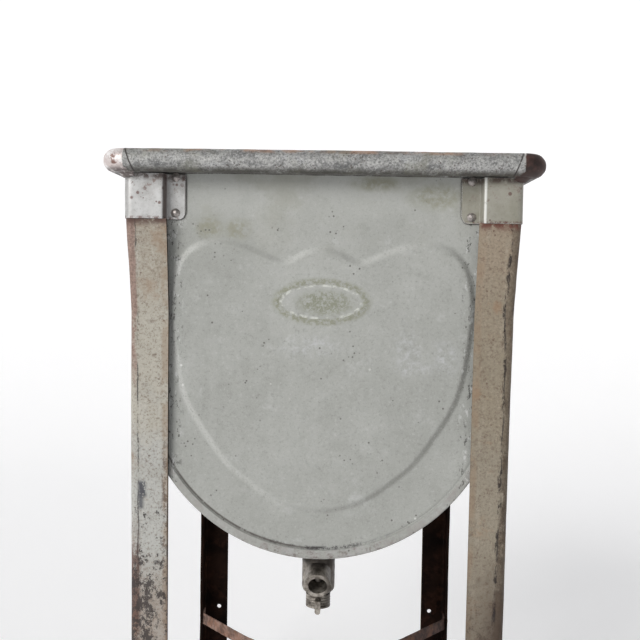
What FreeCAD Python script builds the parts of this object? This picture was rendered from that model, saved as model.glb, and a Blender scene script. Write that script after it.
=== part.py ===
"""Half-round sheet-metal wash tank on a four-legged angle-iron stand, with a drain cock.

Frame: origin on the floor under the middle of the tank, +Z up, the long side along Y, the drain
at the -Y end.  Millimetres.
"""

import FreeCAD, Part
import math
import os

import Sketcher

V = FreeCAD.Vector

SIZES = {
    # rim: sheet rolled round a pipe, corner caps over the joints
    "rim_axis_height": 868,
    "roll_radius": 12,
    "roll_reach": 27.2,
    "pipe_radius": 10.7,
    "pipe_bore": 8.5,
    "cap_bend": 14,
    "cap_radius": 13,
    "cap_hollow": 10,
    "cap_lap": 10,
    "lap_gap": 0.05,
    "skirt_foot": 849.7,
    "skirt_head": 855.9,
    "skirt_reach": 8.2,
    "skirt_sheet": 1.2,
    "skirt_width": 13,
    "skirt_rise": 30,
    # tank walls
    "wall_sheet": 1.2,
    "wall_top": 858,
    "bowl_axis_height": 628.6,
    "shell_radius": 205.2,
    "shell_half_length": 287.5,
    "seam_radius": 206.6,
    "seam_bore": 205.4,
    "seam_width": 9.5,
    "seam_face": 291,
    "seam_lap": 12,
    "end_face": 289,
    "emboss_height": 2,
    "emboss_scale": 0.957,
    "emboss_centre_drop": 247,
    # blank oval bead in the middle of each end panel
    "oval_half_width": 55,
    "oval_half_height": 26,
    "oval_bead": 4.5,
    "oval_height": 0.9,
    "oval_drop": 165.5,
    # corner sockets and their rivets
    "socket_sheet": 1.2,
    "socket_out": 16,
    "socket_bottom": 805,
    "socket_top": 855,
    "socket_corner": 9,
    "socket_face_end": 176,
    "socket_flange": 21,
    "socket_jog": 2,
    "socket_round": 8,
    "socket_side_end": 260,
    "rivet_inset": 9.5,
    "rivet_low": 812,
    "rivet_high": 852,
    "rivet_head": 5.5,
    "rivet_dome": 2.8,
    "rivet_shank": 2.5,
    "rivet_clinch": 1.2,
    # legs
    "leg_sheet": 2.7,
    "leg_side_face": 212.6,
    "leg_end_face": 296,
    "leg_flange": 42.5,
    "leg_bend": 8,
    "leg_top": 850,
    "lean_start": 300,
    "leg_lean": 3.4,
    "flare_start": 700,
    "leg_flare": 8.4,
    "neck_flange": 39.7,
    "seat_gap": 0.1,
    "leg_hole": 3.5,
    "leg_hole_inset": 14,
    "leg_hole_height": 164,
    # cross braces
    "brace_height": 154,
    "brace_width": 19,
    "brace_sheet": 3,
    "brace_tab": 26,
    "brace_rivet": 4.5,
    "brace_rivet_dome": 2.4,
    # drain cock
    "drain_back": 215,
    "flange_radius": 27,
    "flange_rise": 5,
    "spigot_radius": 16.4,
    "spigot_bore": 12,
    "spigot_foot": 405.2,
    "strainer_bar": 2.4,
    "gasket_radius": 24,
    "gasket_foot": 417.2,
    "locknut_flats": 44,
    "locknut_foot": 410,
    "body_radius": 20,
    "body_top": 409.5,
    "body_foot": 359,
    "body_floor": 3,
    "body_round": 9,
    "body_shoulder": 3,
    "plug_radius": 13,
    "plug_top": 404.6,
    "plug_bore": 9.5,
    "plug_floor": 8,
    "running_gap": 0.05,
    "stem_radius": 7,
    "stem_square": 9,
    "nozzle_height": 392.5,
    "nozzle_angle": 22,
    "nozzle_radius": 15.2,
    "nozzle_bore": 11,
    "nozzle_length": 40,
    "knob_radius": 15,
    "knob_top": 358.5,
    "knob_foot": 342.5,
    "knob_rib": 0.8,
    "knob_ribs": 5,
    "fin_width": 7,
    "fin_reach": 24,
    "fin_foot": 338.5,
    "fin_top": 354,
    "screw_head": 6,
    "screw_rise": 3,
    "screw_shank": 2.4,
    "screw_length": 11,
}

document = FreeCAD.newDocument("wash_tank")
sheet = document.addObject("Spreadsheet::Sheet", "Size")
for row, (alias, number) in enumerate(SIZES.items(), start=1):
    sheet.set(f"A{row}", alias)
    sheet.set(f"B{row}", str(number))
    sheet.setAlias(f"B{row}", alias)
document.recompute()

nodes = []


# ---------------------------------------------------------------- helpers

def value(text):
    """The number that an expression over the sheet's cells gives."""
    return float(sheet.evalExpression(text))


def bind(thing, **sizes):
    """Binds properties of a document object to expressions over the sheet."""
    for name, text in sizes.items():
        thing.setExpression(name.replace("__", "."), text)
    return thing


def primitive(kind, name, at=("0", "0", "0"), turn=None, **sizes):
    """A Part primitive with bound sizes at a bound place; turn is (axis, degrees)."""
    made = document.addObject(kind, name)
    if turn:
        made.Placement = FreeCAD.Placement(V(0, 0, 0), FreeCAD.Rotation(*turn))
    bind(made, **sizes)
    for letter, text in zip("xyz", at):
        made.setExpression(f"Placement.Base.{letter}", text)
    return made


def cut(name, base, tool):
    made = document.addObject("Part::Cut", name)
    made.Base = base
    made.Tool = tool
    return made


def common(name, base, tool):
    made = document.addObject("Part::Common", name)
    made.Base = base
    made.Tool = tool
    return made


def fuse(name, *shapes):
    made = document.addObject("Part::MultiFuse", name)
    made.Shapes = list(shapes)
    return made


def mirror(name, source, normal):
    """The piece's twin on the other side of the middle plane with this normal."""
    made = document.addObject("Part::Mirroring", name)
    made.Source = source
    made.Normal = normal
    return made


def fixed(name, shape):
    """A document object for a shape that was made with Part's own functions."""
    made = document.addObject("Part::Feature", name)
    made.Shape = shape
    return made


def keep(thing, label):
    """Marks an object as a finished piece of the tank."""
    thing.Label = label
    nodes.append(thing)
    return thing


def body(name):
    return document.addObject("PartDesign::Body", name)


def sketch_on(owner, name, role, offset, shapes):
    """A sketch on one of the body's own planes; a shape is geometry or (geometry, radius cell)."""
    sketch = owner.newObject("Sketcher::SketchObject", name)
    plane = next(item for item in owner.Origin.OriginFeatures if item.Role == role)
    sketch.AttachmentSupport = [(plane, "")]
    sketch.MapMode = "FlatFace"
    sketch.setExpression("AttachmentOffset.Base.z", offset)
    for shape in shapes:
        geometry, radius = shape if isinstance(shape, tuple) else (shape, None)
        index = sketch.addGeometry(geometry, False)
        if radius:
            held = sketch.addConstraint(Sketcher.Constraint("Radius", index, value(radius)))
            sketch.setExpression(f"Constraints[{held}]", radius)
    return sketch


def pad(owner, name, role, shapes, length, offset="0", both=False, back=False):
    """A pad from an outline, along the plane's normal unless back, or to both sides of the plane."""
    feature = owner.newObject("PartDesign::Pad", name)
    feature.Profile = sketch_on(owner, name + "_outline", role, offset, shapes)
    feature.SideType = "Symmetric" if both else "One side"
    feature.Reversed = back
    feature.setExpression("Length", length)
    document.recompute()
    return feature


def polygon(*corners):
    points = [V(*corner, 0) for corner in corners]
    return [Part.LineSegment(a, b) for a, b in zip(points, points[1:] + points[:1])]


def arc(centre, radius, start, end):
    """An arc of a circle in the sketch's plane, from one angle to another in degrees."""
    circle = Part.Circle(V(*centre, 0), V(0, 0, 1), radius)
    return Part.ArcOfCircle(circle, math.radians(start), math.radians(end))


def chain(*corners):
    """Straight lines through corners, left open."""
    points = [V(*corner, 0) for corner in corners]
    return [Part.LineSegment(a, b) for a, b in zip(points, points[1:])]


def u_plate(radius, top):
    """A closed U: half a disc with straight sides up to the top."""
    size, base = value(radius), value("Size.bowl_axis_height")
    sides = chain((size, base), (size, top), (-size, top), (-size, base))
    return [(arc((0, base), size, 180, 360), radius)] + sides


def u_strip(outer, inner, top):
    """A U-shaped strip between two radii, open at the top."""
    big, small, base = value(outer), value(inner), value("Size.bowl_axis_height")
    right = chain((big, base), (big, top), (small, top), (small, base))
    left = chain((-small, base), (-small, top), (-big, top), (-big, base))
    bows = [(arc((0, base), big, 180, 360), outer), (arc((0, base), small, 180, 360), inner)]
    return bows + right + left


def ring(centre, outer, inner):
    return [
        (Part.Circle(V(*centre, 0), V(0, 0, 1), value(outer)), outer),
        (Part.Circle(V(*centre, 0), V(0, 0, 1), value(inner)), inner),
    ]


def flare_outline(wall_face):
    """The sheet that leans out from the top of a wall to touch the roll, in the wall's section."""
    thickness, top = value("Size.wall_sheet"), value("Size.wall_top")
    foot = V(wall_face - thickness, top, 0)
    axis = V(wall_face + value("Size.roll_reach"), value("Size.rim_axis_height"), 0)
    reach = axis - foot
    radius = value("Size.roll_radius")
    lean = math.atan2(reach.y, reach.x) + math.asin(radius / reach.Length)
    run = math.sqrt(reach.Length**2 - radius**2)
    touch = foot + V(math.cos(lean), math.sin(lean), 0) * run
    inward = V(math.sin(lean), -math.cos(lean), 0) * thickness
    low = touch + inward
    return [(foot.x, foot.y), (touch.x, touch.y), (low.x, low.y), (wall_face, top)]


# ---------------------------------------------------------------- corner caps

ROLL_X = "Size.shell_radius + Size.roll_reach"
ROLL_Y = "Size.end_face + Size.roll_reach"
CAP_X = f"{ROLL_X} - Size.cap_bend"
CAP_Y = f"{ROLL_Y} - Size.cap_bend"
MINUS_CAP_X = f"-({CAP_X})"
MINUS_CAP_Y = f"-({CAP_Y})"
ALONG_X = (V(0, 1, 0), 90)
ALONG_Y = (V(1, 0, 0), -90)


def slanted_lap(name, at, turn, lean):
    """The cap's sleeve over one roll: long below, nothing at the top, cut by a slanting plane."""
    tube = primitive("Part::Cylinder", name, at, turn, Radius="Size.cap_radius", Height="Size.cap_lap")
    block = document.addObject("Part::Box", name + "_waste")
    side = 4 * value("Size.cap_lap")
    angle = math.degrees(math.atan2(value("Size.cap_lap"), 2 * value("Size.cap_radius")))
    bind(block, Length="4 * Size.cap_lap", Width="4 * Size.cap_lap", Height="4 * Size.cap_lap")
    crown = V(value(at[0]), value(at[1]), value("Size.rim_axis_height + Size.cap_radius"))
    axis, far = lean
    spin = FreeCAD.Rotation(axis, angle)
    corner = V(0, -side / 2, -side / 2) if far == "x" else V(-side / 2, 0, -side / 2)
    block.Placement = FreeCAD.Placement(crown + spin.multVec(corner), spin)
    return cut(name + "_slanted", tube, block)


def skirt_ring(level, gap):
    """Plan of the cap's skirt at one height: a bent strip round the socket, a gap away from it."""
    thickness = value("Size.skirt_sheet")
    height = value(level)
    socket_x = value("Size.seam_radius + Size.socket_out")
    socket_y = value("Size.seam_face - 1 + Size.socket_out")
    end_x = value("Size.skirt_width") - socket_x
    end_y = value("Size.skirt_width") - socket_y
    corner = value("Size.socket_corner")
    middle = V(corner - socket_x, corner - socket_y, height)
    faces = []
    for out in (gap + thickness, gap):
        swing = corner + out
        diagonal = swing * math.sqrt(0.5)
        first, last = V(middle.x, middle.y - swing, height), V(middle.x - swing, middle.y, height)
        bend = Part.Arc(first, middle + V(-diagonal, -diagonal, 0), last)
        faces.append((V(end_x, first.y, height), first, bend, last, V(last.x, end_y, height)))
    (a, b, outer, c, d), (e, f, inner, g, h) = faces
    loop = [Part.LineSegment(a, b), outer, Part.LineSegment(c, d), Part.LineSegment(d, h),
            Part.LineSegment(h, g), inner, Part.LineSegment(f, e), Part.LineSegment(e, a)]
    return Part.Wire(Part.__sortEdges__([piece.toShape() for piece in loop]))


def cap_skirt():
    """The cap's web over the socket's corner: leaning out to the roll, its foot rising both ways."""
    reach = value("Size.skirt_reach") - value("Size.skirt_sheet")
    leaning = Part.makeLoft([skirt_ring("Size.skirt_foot", 0.1), skirt_ring("Size.skirt_head", reach)], True, True)
    side = 4 * value("Size.skirt_width")
    waste = Part.makeBox(side, side, side, V(-side / 2, -side / 2, -side))
    bulge = value("Size.socket_corner") * (1 - math.sqrt(0.5))
    waste.Placement = FreeCAD.Placement(
        V(bulge - value("Size.seam_radius + Size.socket_out"),
          bulge - value("Size.seam_face - 1 + Size.socket_out"), value("Size.skirt_foot")),
        FreeCAD.Rotation(V(1, -1, 0), value("Size.skirt_rise")))
    return leaning.cut(waste)


def front_left_cap():
    """A hollow cast elbow over the corner, sleeved over both rolls, with a skirt over the socket."""
    height = "Size.rim_axis_height"
    centre = (MINUS_CAP_X, MINUS_CAP_Y, height)
    quarter = (V(0, 0, 1), 180)
    elbow = primitive("Part::Torus", "cap_elbow", centre, quarter,
                      Radius1="Size.cap_bend", Radius2="Size.cap_radius")
    elbow.Angle3 = 90
    hollow = primitive("Part::Torus", "cap_core", centre, quarter,
                       Radius1="Size.cap_bend", Radius2="Size.cap_hollow")
    hollow.Angle3 = 90
    end_lap = slanted_lap("cap_end_lap", (MINUS_CAP_X, f"-({ROLL_Y})", height), ALONG_X, (V(0, 1, 0), "x"))
    side_lap = slanted_lap("cap_side_lap", (f"-({ROLL_X})", MINUS_CAP_Y, height), ALONG_Y, (V(-1, 0, 0), "y"))
    skirt = fixed("cap_skirt", cap_skirt())
    return fuse("cap_outside", elbow, end_lap, side_lap, skirt), hollow


def roll_bores():
    """The spaces that the rolls take inside one cap."""
    height = "Size.rim_axis_height"
    radius = "Size.roll_radius + Size.lap_gap"
    length = "4 * Size.cap_lap"
    end_bore = primitive("Part::Cylinder", "cap_end_bore", (MINUS_CAP_X, f"-({ROLL_Y})", height), ALONG_X,
                         Radius=radius, Height=length)
    side_bore = primitive("Part::Cylinder", "cap_side_bore", (f"-({ROLL_X})", MINUS_CAP_Y, height), ALONG_Y,
                          Radius=radius, Height=length)
    return end_bore, side_bore


cap_outside, cap_core = front_left_cap()
cap_front_left = cut("cap_hollowed", cap_outside, fuse("cap_spaces", cap_core, *roll_bores()))
cap_front_right = mirror("cap_twin_right", cap_front_left, V(1, 0, 0))
cap_rear_left = mirror("cap_twin_rear", cap_front_left, V(0, 1, 0))
cap_rear_right = mirror("cap_twin_rear_right", cap_front_right, V(0, 1, 0))
keep(cap_front_left, "corner_cap_front_left")
keep(cap_front_right, "corner_cap_front_right")
keep(cap_rear_left, "corner_cap_rear_left")
keep(cap_rear_right, "corner_cap_rear_right")

outside_right = mirror("cap_outside_right", cap_outside, V(1, 0, 0))
outside_front = fuse("caps_front", cap_outside, outside_right)
outside_all = fuse("caps_all", outside_front, mirror("caps_rear", outside_front, V(0, 1, 0)))


# ---------------------------------------------------------------- rivets through the tank walls

def rivet(name, place, inward, grip):
    """A domed rivet: head outside, shank through the grip, clinched head inside."""
    head = value("Size.rivet_head")
    dome = value("Size.rivet_dome")
    shank = value("Size.rivet_shank")
    clinch = value("Size.rivet_clinch")
    ball = (head**2 + dome**2) / (2 * dome)
    cap = Part.makeSphere(ball, V(0, 0, ball - dome)).common(Part.makeCylinder(head, dome, V(0, 0, -dome)))
    stem = Part.makeCylinder(shank, grip + clinch)
    foot = Part.makeCylinder(shank * 1.7, clinch, V(0, 0, grip))
    shape = cap.fuse([stem, foot]).removeSplitter()
    made = fixed(name, shape)
    made.Placement = FreeCAD.Placement(place, FreeCAD.Rotation(V(0, 0, 1), inward))
    return made


def front_left_rivets():
    """Two rivets through the socket's flange on the end panel and two through the one on the side."""
    sheet_pair = value("Size.socket_sheet + Size.wall_sheet")
    along_end = value("Size.socket_face_end - Size.rivet_inset")
    along_side = value("Size.socket_side_end - Size.rivet_inset")
    end_face = value("Size.end_face + Size.socket_sheet")
    side_face = value("Size.shell_radius + Size.socket_sheet")
    made = []
    for level in ("low", "high"):
        height = value(f"Size.rivet_{level}")
        made.append(rivet(f"end_rivet_{level}", V(-along_end, -end_face, height), V(0, 1, 0), sheet_pair))
        made.append(rivet(f"side_rivet_{level}", V(-side_face, -along_side, height), V(1, 0, 0), sheet_pair))
    return made


def compound(name, *parts):
    made = document.addObject("Part::Compound", name)
    made.Links = list(parts)
    return made


rivets = {"front_left": compound("rivets_front_left", *front_left_rivets())}
rivets["front_right"] = mirror("rivets_front_right", rivets["front_left"], V(1, 0, 0))
rivets["rear_left"] = mirror("rivets_rear_left", rivets["front_left"], V(0, 1, 0))
rivets["rear_right"] = mirror("rivets_rear_right", rivets["front_right"], V(0, 1, 0))
for corner, group in rivets.items():
    keep(group, f"socket_rivets_{corner}")
all_rivets = compound("all_socket_rivets", *rivets.values())


# ---------------------------------------------------------------- end panels

# half outline of the raised field, as distance from the middle and depth below the rim's top
FIELD_OUTLINE = [
    (0, 103), (18, 106), (42, 117), (66, 109), (94, 99), (123, 96), (147, 103), (165, 124), (173, 156),
    (173, 186), (169, 223), (162, 260), (152, 287), (134, 317), (110, 350), (85, 372), (60, 390), (32, 402),
]
FIELD_FOOT = (0, 407)


def field_wire(scale, out):
    """The heart-shaped outline of the raised field, scaled about its middle, at one depth."""
    crown = value("Size.rim_axis_height + Size.roll_radius")
    middle = value("Size.emboss_centre_drop")
    half = FIELD_OUTLINE + [FIELD_FOOT]
    loop = half + [(-across, drop) for across, drop in reversed(FIELD_OUTLINE[1:])]
    points = [V(across * scale, -out, crown - middle - (drop - middle) * scale) for across, drop in loop]
    curve = Part.BSplineCurve()
    curve.interpolate(Points=points, PeriodicFlag=True)
    return Part.Wire(curve.toShape())


def raised_field(name, foot):
    """The solid between the outline at this depth and the smaller outline in front of it."""
    scale = value("Size.emboss_scale")
    face = foot + value("Size.emboss_height")
    return fixed(name, Part.makeLoft([field_wire(1, foot), field_wire(scale, face)], True, True))


def oval_outline(grow):
    """Two arcs that meet in a point at each side."""
    width = value("Size.oval_half_width") + 1.5 * grow
    rise = value("Size.oval_half_height") + grow
    radius = (width**2 + rise**2) / (2 * rise)
    centre = value("Size.rim_axis_height + Size.roll_radius - Size.oval_drop")
    sweep = math.degrees(math.asin(width / radius))
    upper = arc((0, centre + rise - radius), radius, 90 - sweep, 90 + sweep)
    lower = arc((0, centre - rise + radius), radius, 270 - sweep, 270 + sweep)
    return [upper, lower]


def front_panel():
    """Flat plate with a raised field, a folded seam round its U edge and a roll along its top."""
    top = value("Size.wall_top")
    plate = body("panel_plate")
    pad(plate, "panel_sheet", "XZ_Plane", u_plate("Size.seam_bore", top), "Size.wall_sheet",
        offset="Size.end_face - Size.wall_sheet")
    pad(plate, "seam_skirt", "XZ_Plane", u_strip("Size.seam_radius", "Size.seam_bore - 0.01", top),
        "Size.seam_lap", offset="Size.seam_face - Size.seam_lap")
    pad(plate, "seam_band", "XZ_Plane",
        u_strip("Size.seam_radius", "Size.seam_radius - Size.seam_width", top),
        "Size.seam_face - Size.end_face", offset="Size.end_face")
    flare = body("panel_flare")
    pad(flare, "flare_sheet", "YZ_Plane",
        polygon(*[(-out, up) for out, up in flare_outline(value("Size.end_face"))]),
        "2 * (Size.shell_radius + 2 * Size.roll_reach)", both=True)
    near = value("Size.shell_radius") - 4
    far = near + 2 * value("Size.roll_reach")
    drop = value("Size.end_face - Size.shell_radius")
    mitre = body("panel_mitre")
    pad(mitre, "mitre_block", "XY_Plane",
        polygon((-near, -near - drop), (near, -near - drop), (far, -far - drop), (-far, -far - drop)),
        "4 * Size.roll_radius", offset="Size.wall_top - Size.roll_radius")
    roll = body("panel_roll")
    pad(roll, "roll_sheet", "YZ_Plane",
        ring((-value(ROLL_Y), value("Size.rim_axis_height")), "Size.roll_radius",
             "Size.roll_radius - Size.wall_sheet"),
        f"2 * ({CAP_X})", both=True)
    oval = body("panel_oval")
    bead = value("Size.oval_bead")
    pad(oval, "oval_bead", "XZ_Plane", oval_outline(0) + oval_outline(-bead),
        "Size.oval_height + Size.emboss_height / 2",
        offset="Size.end_face + Size.emboss_height / 2")
    mitred = common("flare_mitred", flare, mitre)
    trimmed = cut("flare_trimmed", mitred, outside_front)
    end_face = value("Size.end_face")
    field = raised_field("field_outside", end_face)
    recess = raised_field("field_recess", end_face - value("Size.wall_sheet"))
    whole = fuse("panel_solid", plate, field, oval, trimmed, roll)
    pressed = cut("panel_pressed", whole, recess)
    return cut("panel_drilled", pressed, all_rivets)


panel = keep(front_panel(), "front_end_panel")
keep(mirror("panel_twin", panel, V(0, 1, 0)), "rear_end_panel")


# ---------------------------------------------------------------- tank shell

def tank_shell():
    """One sheet bent to a U, leaning out to a roll along each long side, drilled for the drain."""
    top = value("Size.wall_top")
    trough = body("shell_trough")
    pad(trough, "trough_sheet", "XZ_Plane",
        u_strip("Size.shell_radius", "Size.shell_radius - Size.wall_sheet", top),
        "2 * Size.shell_half_length", both=True)
    flare = body("shell_flare")
    outline = flare_outline(value("Size.shell_radius"))
    pad(flare, "side_flare_sheet", "XZ_Plane", polygon(*[(-out, up) for out, up in outline]),
        "2 * (Size.end_face + 2 * Size.roll_reach)", both=True)
    near = value("Size.shell_radius") - 4
    far = near + 2 * value("Size.roll_reach")
    drop = value("Size.end_face - Size.shell_radius")
    mitre = body("shell_mitre")
    pad(mitre, "side_mitre_block", "XY_Plane",
        polygon((-near, -near - drop), (-far, -far - drop), (-far, far + drop), (-near, near + drop)),
        "4 * Size.roll_radius", offset="Size.wall_top - Size.roll_radius")
    roll = body("shell_roll")
    pad(roll, "side_roll_sheet", "XZ_Plane",
        ring((-value(ROLL_X), value("Size.rim_axis_height")), "Size.roll_radius",
             "Size.roll_radius - Size.wall_sheet"),
        f"2 * ({CAP_Y})", both=True)
    trimmed = cut("side_flare_trimmed", common("side_flare_mitred", flare, mitre), outside_all)
    left = fuse("shell_left_edge", trimmed, roll)
    whole = fuse("shell_solid", trough, left, mirror("shell_right_edge", left, V(1, 0, 0)))
    outlet = primitive("Part::Cylinder", "shell_outlet", ("0", "-Size.drain_back", "Size.body_foot"),
                       Radius="Size.spigot_radius + 0.2", Height="2 * Size.shell_radius / 3")
    return cut("shell_drilled", whole, compound("shell_waste", all_rivets, outlet))


keep(tank_shell(), "tub_shell")


def rim_pipe(name, turn, at, length):
    """The pipe that stiffens one roll, from cap to cap."""
    outer = primitive("Part::Cylinder", name + "_outer", at, turn, Radius="Size.pipe_radius", Height=length)
    inner = primitive("Part::Cylinder", name + "_inner", at, turn, Radius="Size.pipe_bore", Height=length)
    return cut(name, outer, inner)


RIM = "Size.rim_axis_height"
front_pipe = rim_pipe("end_pipe", ALONG_X, (MINUS_CAP_X, f"-({ROLL_Y})", RIM), f"2 * ({CAP_X})")
left_pipe = rim_pipe("side_pipe", ALONG_Y, (f"-({ROLL_X})", MINUS_CAP_Y, RIM), f"2 * ({CAP_Y})")
keep(front_pipe, "rim_pipe_front")
keep(mirror("end_pipe_twin", front_pipe, V(0, 1, 0)), "rim_pipe_rear")
keep(left_pipe, "rim_pipe_left")
keep(mirror("side_pipe_twin", left_pipe, V(1, 0, 0)), "rim_pipe_right")


# ---------------------------------------------------------------- corner sockets

def socket_outline(inset):
    """Plan of the socket's outer face, or of its inner face when inset by the sheet."""
    end_wall = value("Size.end_face + Size.socket_sheet") - inset
    side_wall = value("Size.shell_radius + Size.socket_sheet") - inset
    out_x = value("Size.seam_radius + Size.socket_out") - inset
    out_y = value("Size.seam_face - 1 + Size.socket_out") - inset
    bend = value("Size.socket_corner") - inset
    jog = value("Size.socket_jog")
    face, flange = value("Size.socket_face_end") + inset, value("Size.socket_flange") + inset
    side = value("Size.socket_side_end") + inset
    end_side = chain((-face + flange, -end_wall), (-face, -end_wall), (-face - jog, -out_y),
                     (-out_x + bend, -out_y))
    long_side = chain((-out_x, -out_y + bend), (-out_x, -side - jog), (-side_wall, -side),
                      (-side_wall, -side + flange))
    return end_side, arc((-out_x + bend, -out_y + bend), bend, 180, 270), long_side


def front_left_socket():
    """A pressed pocket round the corner of the tank, open below and above for the leg."""
    outer_end, outer_bend, outer_side = socket_outline(0)
    inner_end, inner_bend, inner_side = socket_outline(value("Size.socket_sheet"))
    closing = [
        Part.LineSegment(outer_end[0].StartPoint, inner_end[0].StartPoint),
        Part.LineSegment(outer_side[-1].EndPoint, inner_side[-1].EndPoint),
    ]
    pocket = body("socket_pocket")
    bent = pad(pocket, "socket_sheet", "XY_Plane",
               outer_end + [outer_bend] + outer_side + inner_end + [inner_bend] + inner_side + closing,
               "Size.socket_top - Size.socket_bottom", offset="Size.socket_bottom")
    rounding = pocket.newObject("PartDesign::Fillet", "socket_rounding")
    ends = (-value("Size.socket_face_end - Size.socket_flange"),
            -value("Size.socket_side_end - Size.socket_flange"))
    low = value("Size.socket_bottom")
    corners = []
    for index, edge in enumerate(bent.Shape.Edges, start=1):
        spot = edge.CenterOfMass
        at_end = abs(spot.x - ends[0]) < 0.1 or abs(spot.y - ends[1]) < 0.1
        if at_end and abs(spot.z - low) < 0.1 and edge.Length < 2:
            corners.append(f"Edge{index}")
    rounding.Base = (bent, corners)
    rounding.setExpression("Radius", "Size.socket_round")
    document.recompute()
    return cut("socket_drilled", pocket, rivets["front_left"])


socket = keep(front_left_socket(), "leg_socket_front_left")
socket_right = keep(mirror("socket_twin", socket, V(1, 0, 0)), "leg_socket_front_right")
keep(mirror("socket_rear_twin", socket, V(0, 1, 0)), "leg_socket_rear_left")
keep(mirror("socket_rear_right_twin", socket_right, V(0, 1, 0)), "leg_socket_rear_right")


# ---------------------------------------------------------------- legs

def angle_outline(lean, flange):
    """Plan of the front left leg's angle section, moved out by its lean, with flanges of one width."""
    out_x = value(f"Size.leg_side_face + {lean}")
    out_y = value(f"Size.leg_end_face + {lean}")
    flange = value(flange)
    sheet_size = value("Size.leg_sheet")
    bend = value("Size.leg_bend")
    inner = bend - sheet_size
    middle = (-out_x + bend, -out_y + bend)
    lines = chain(
        (middle[0], -out_y), (-out_x + flange, -out_y), (-out_x + flange, -out_y + sheet_size),
        (middle[0], -out_y + sheet_size))
    sides = chain(
        (-out_x + sheet_size, middle[1]), (-out_x + sheet_size, -out_y + flange),
        (-out_x, -out_y + flange), (-out_x, middle[1]))
    return lines + sides + [arc(middle, bend, 180, 270), arc(middle, inner, 180, 270)]


def brace_rivet_place():
    """Where the brace is riveted to the leg's side flange, as distances from the middle."""
    along = value("Size.leg_end_face - Size.leg_flange / 2 - 1")
    return along, value("Size.brace_height")


def leg_taper(angle, name, low, high):
    """The length of leg between two heights, each given as height, lean and flange width."""
    loft = angle.newObject("PartDesign::AdditiveLoft", name)
    ends = [sketch_on(angle, f"{name}_{end}", "XY_Plane", height, angle_outline(lean, flange))
            for end, (height, lean, flange) in (("foot", low), ("head", high))]
    loft.Profile = ends[0]
    loft.Sections = [(ends[1], [""])]
    loft.Ruled = True
    document.recompute()


def front_left_leg():
    """Pressed steel angle that leans out to its socket; the socket sits on the neck's shoulders."""
    seat = "Size.socket_bottom - Size.seat_gap"
    levels = [
        ("Size.lean_start", "0", "Size.leg_flange"),
        ("Size.flare_start", "Size.leg_lean", "Size.leg_flange + Size.leg_lean / 2"),
        (seat, "Size.leg_flare", "Size.leg_flange + Size.leg_flare / 2"),
    ]
    angle = body("leg_angle")
    pad(angle, "leg_straight", "XY_Plane", angle_outline("0", "Size.leg_flange"), "Size.lean_start")
    leg_taper(angle, "leg_lean", levels[0], levels[1])
    leg_taper(angle, "leg_flare", levels[1], levels[2])
    pad(angle, "leg_neck", "XY_Plane", angle_outline("Size.leg_flare", "Size.neck_flange"),
        f"Size.leg_top - ({seat})", offset=seat)
    document.recompute()
    slot = primitive("Part::Cylinder", "leg_hole_drill",
                     ("Size.leg_flange - Size.leg_side_face - Size.leg_hole_inset",
                      "-Size.leg_end_face - 1", "Size.leg_hole_height"),
                     ALONG_Y, Radius="Size.leg_hole", Height="Size.leg_sheet + 2")
    along, height = brace_rivet_place()
    pin_hole = fixed("leg_rivet_drill", Part.makeCylinder(
        value("Size.rivet_shank"), 3 * value("Size.leg_sheet"),
        V(-value("Size.leg_side_face") - 1, -along, height), V(1, 0, 0)))
    return cut("leg_drilled", angle, compound("leg_waste", slot, pin_hole))


leg = keep(front_left_leg(), "leg_front_left")
leg_right = keep(mirror("leg_twin", leg, V(1, 0, 0)), "leg_front_right")
keep(mirror("leg_rear_twin", leg, V(0, 1, 0)), "leg_rear_left")
keep(mirror("leg_rear_right_twin", leg_right, V(0, 1, 0)), "leg_rear_right")


# ---------------------------------------------------------------- cross braces

def strip_section(place, heading, roll):
    """The strip's rectangle across its run: upright at roll 0, lying flat at roll 90."""
    half_width = value("Size.brace_width") / 2
    half_sheet = value("Size.brace_sheet") / 2
    turn = FreeCAD.Rotation(V(0, 0, 1), heading).multiply(FreeCAD.Rotation(V(0, 1, 0), roll))
    corners = [V(-half_sheet, 0, -half_width), V(half_sheet, 0, -half_width),
               V(half_sheet, 0, half_width), V(-half_sheet, 0, half_width)]
    return Part.makePolygon([place + turn.multVec(point) for point in corners + corners[:1]])


def half_brace(lift):
    """From the tab on the front left leg to the crossing; the strip turns flat on the way."""
    face = value("Size.leg_side_face - Size.leg_sheet") - value("Size.brace_sheet") / 2 - 0.02
    start = value("Size.leg_end_face - Size.leg_bend") - 2
    height = value("Size.brace_height")
    bend = V(-face, -start + value("Size.brace_tab"), height)
    run = V(-bend.x, -bend.y, 0)
    heading = -math.degrees(math.atan2(run.x, run.y))
    along = V(run.x, run.y, 0).normalize()
    bend_radius = 12.0
    setback = bend_radius * math.tan(math.radians(-heading) / 2)
    centre = V(bend.x + bend_radius, bend.y - setback, height)
    steps = [(V(-face, -start, height), 0, 0)]
    turns = 5
    for step in range(turns + 1):
        angle = heading * step / turns
        spot = centre + V(-bend_radius * math.cos(math.radians(angle)),
                          -bend_radius * math.sin(math.radians(angle)), 0)
        steps.append((spot, angle, 0))
    twist_start, twist_end = 0.42, 0.62
    twists = 8
    for step in range(twists + 1):
        share = twist_start + (twist_end - twist_start) * step / twists
        level = height + lift * step / twists
        steps.append((V(bend.x, bend.y, 0) + along * (run.Length * share) + V(0, 0, level), heading,
                      90 * step / twists))
    middle = V(0, 0, height + lift)
    steps.append((middle, heading, 90))
    wires = [strip_section(*step) for step in steps]
    return Part.makeLoft(wires, True, True)


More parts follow.
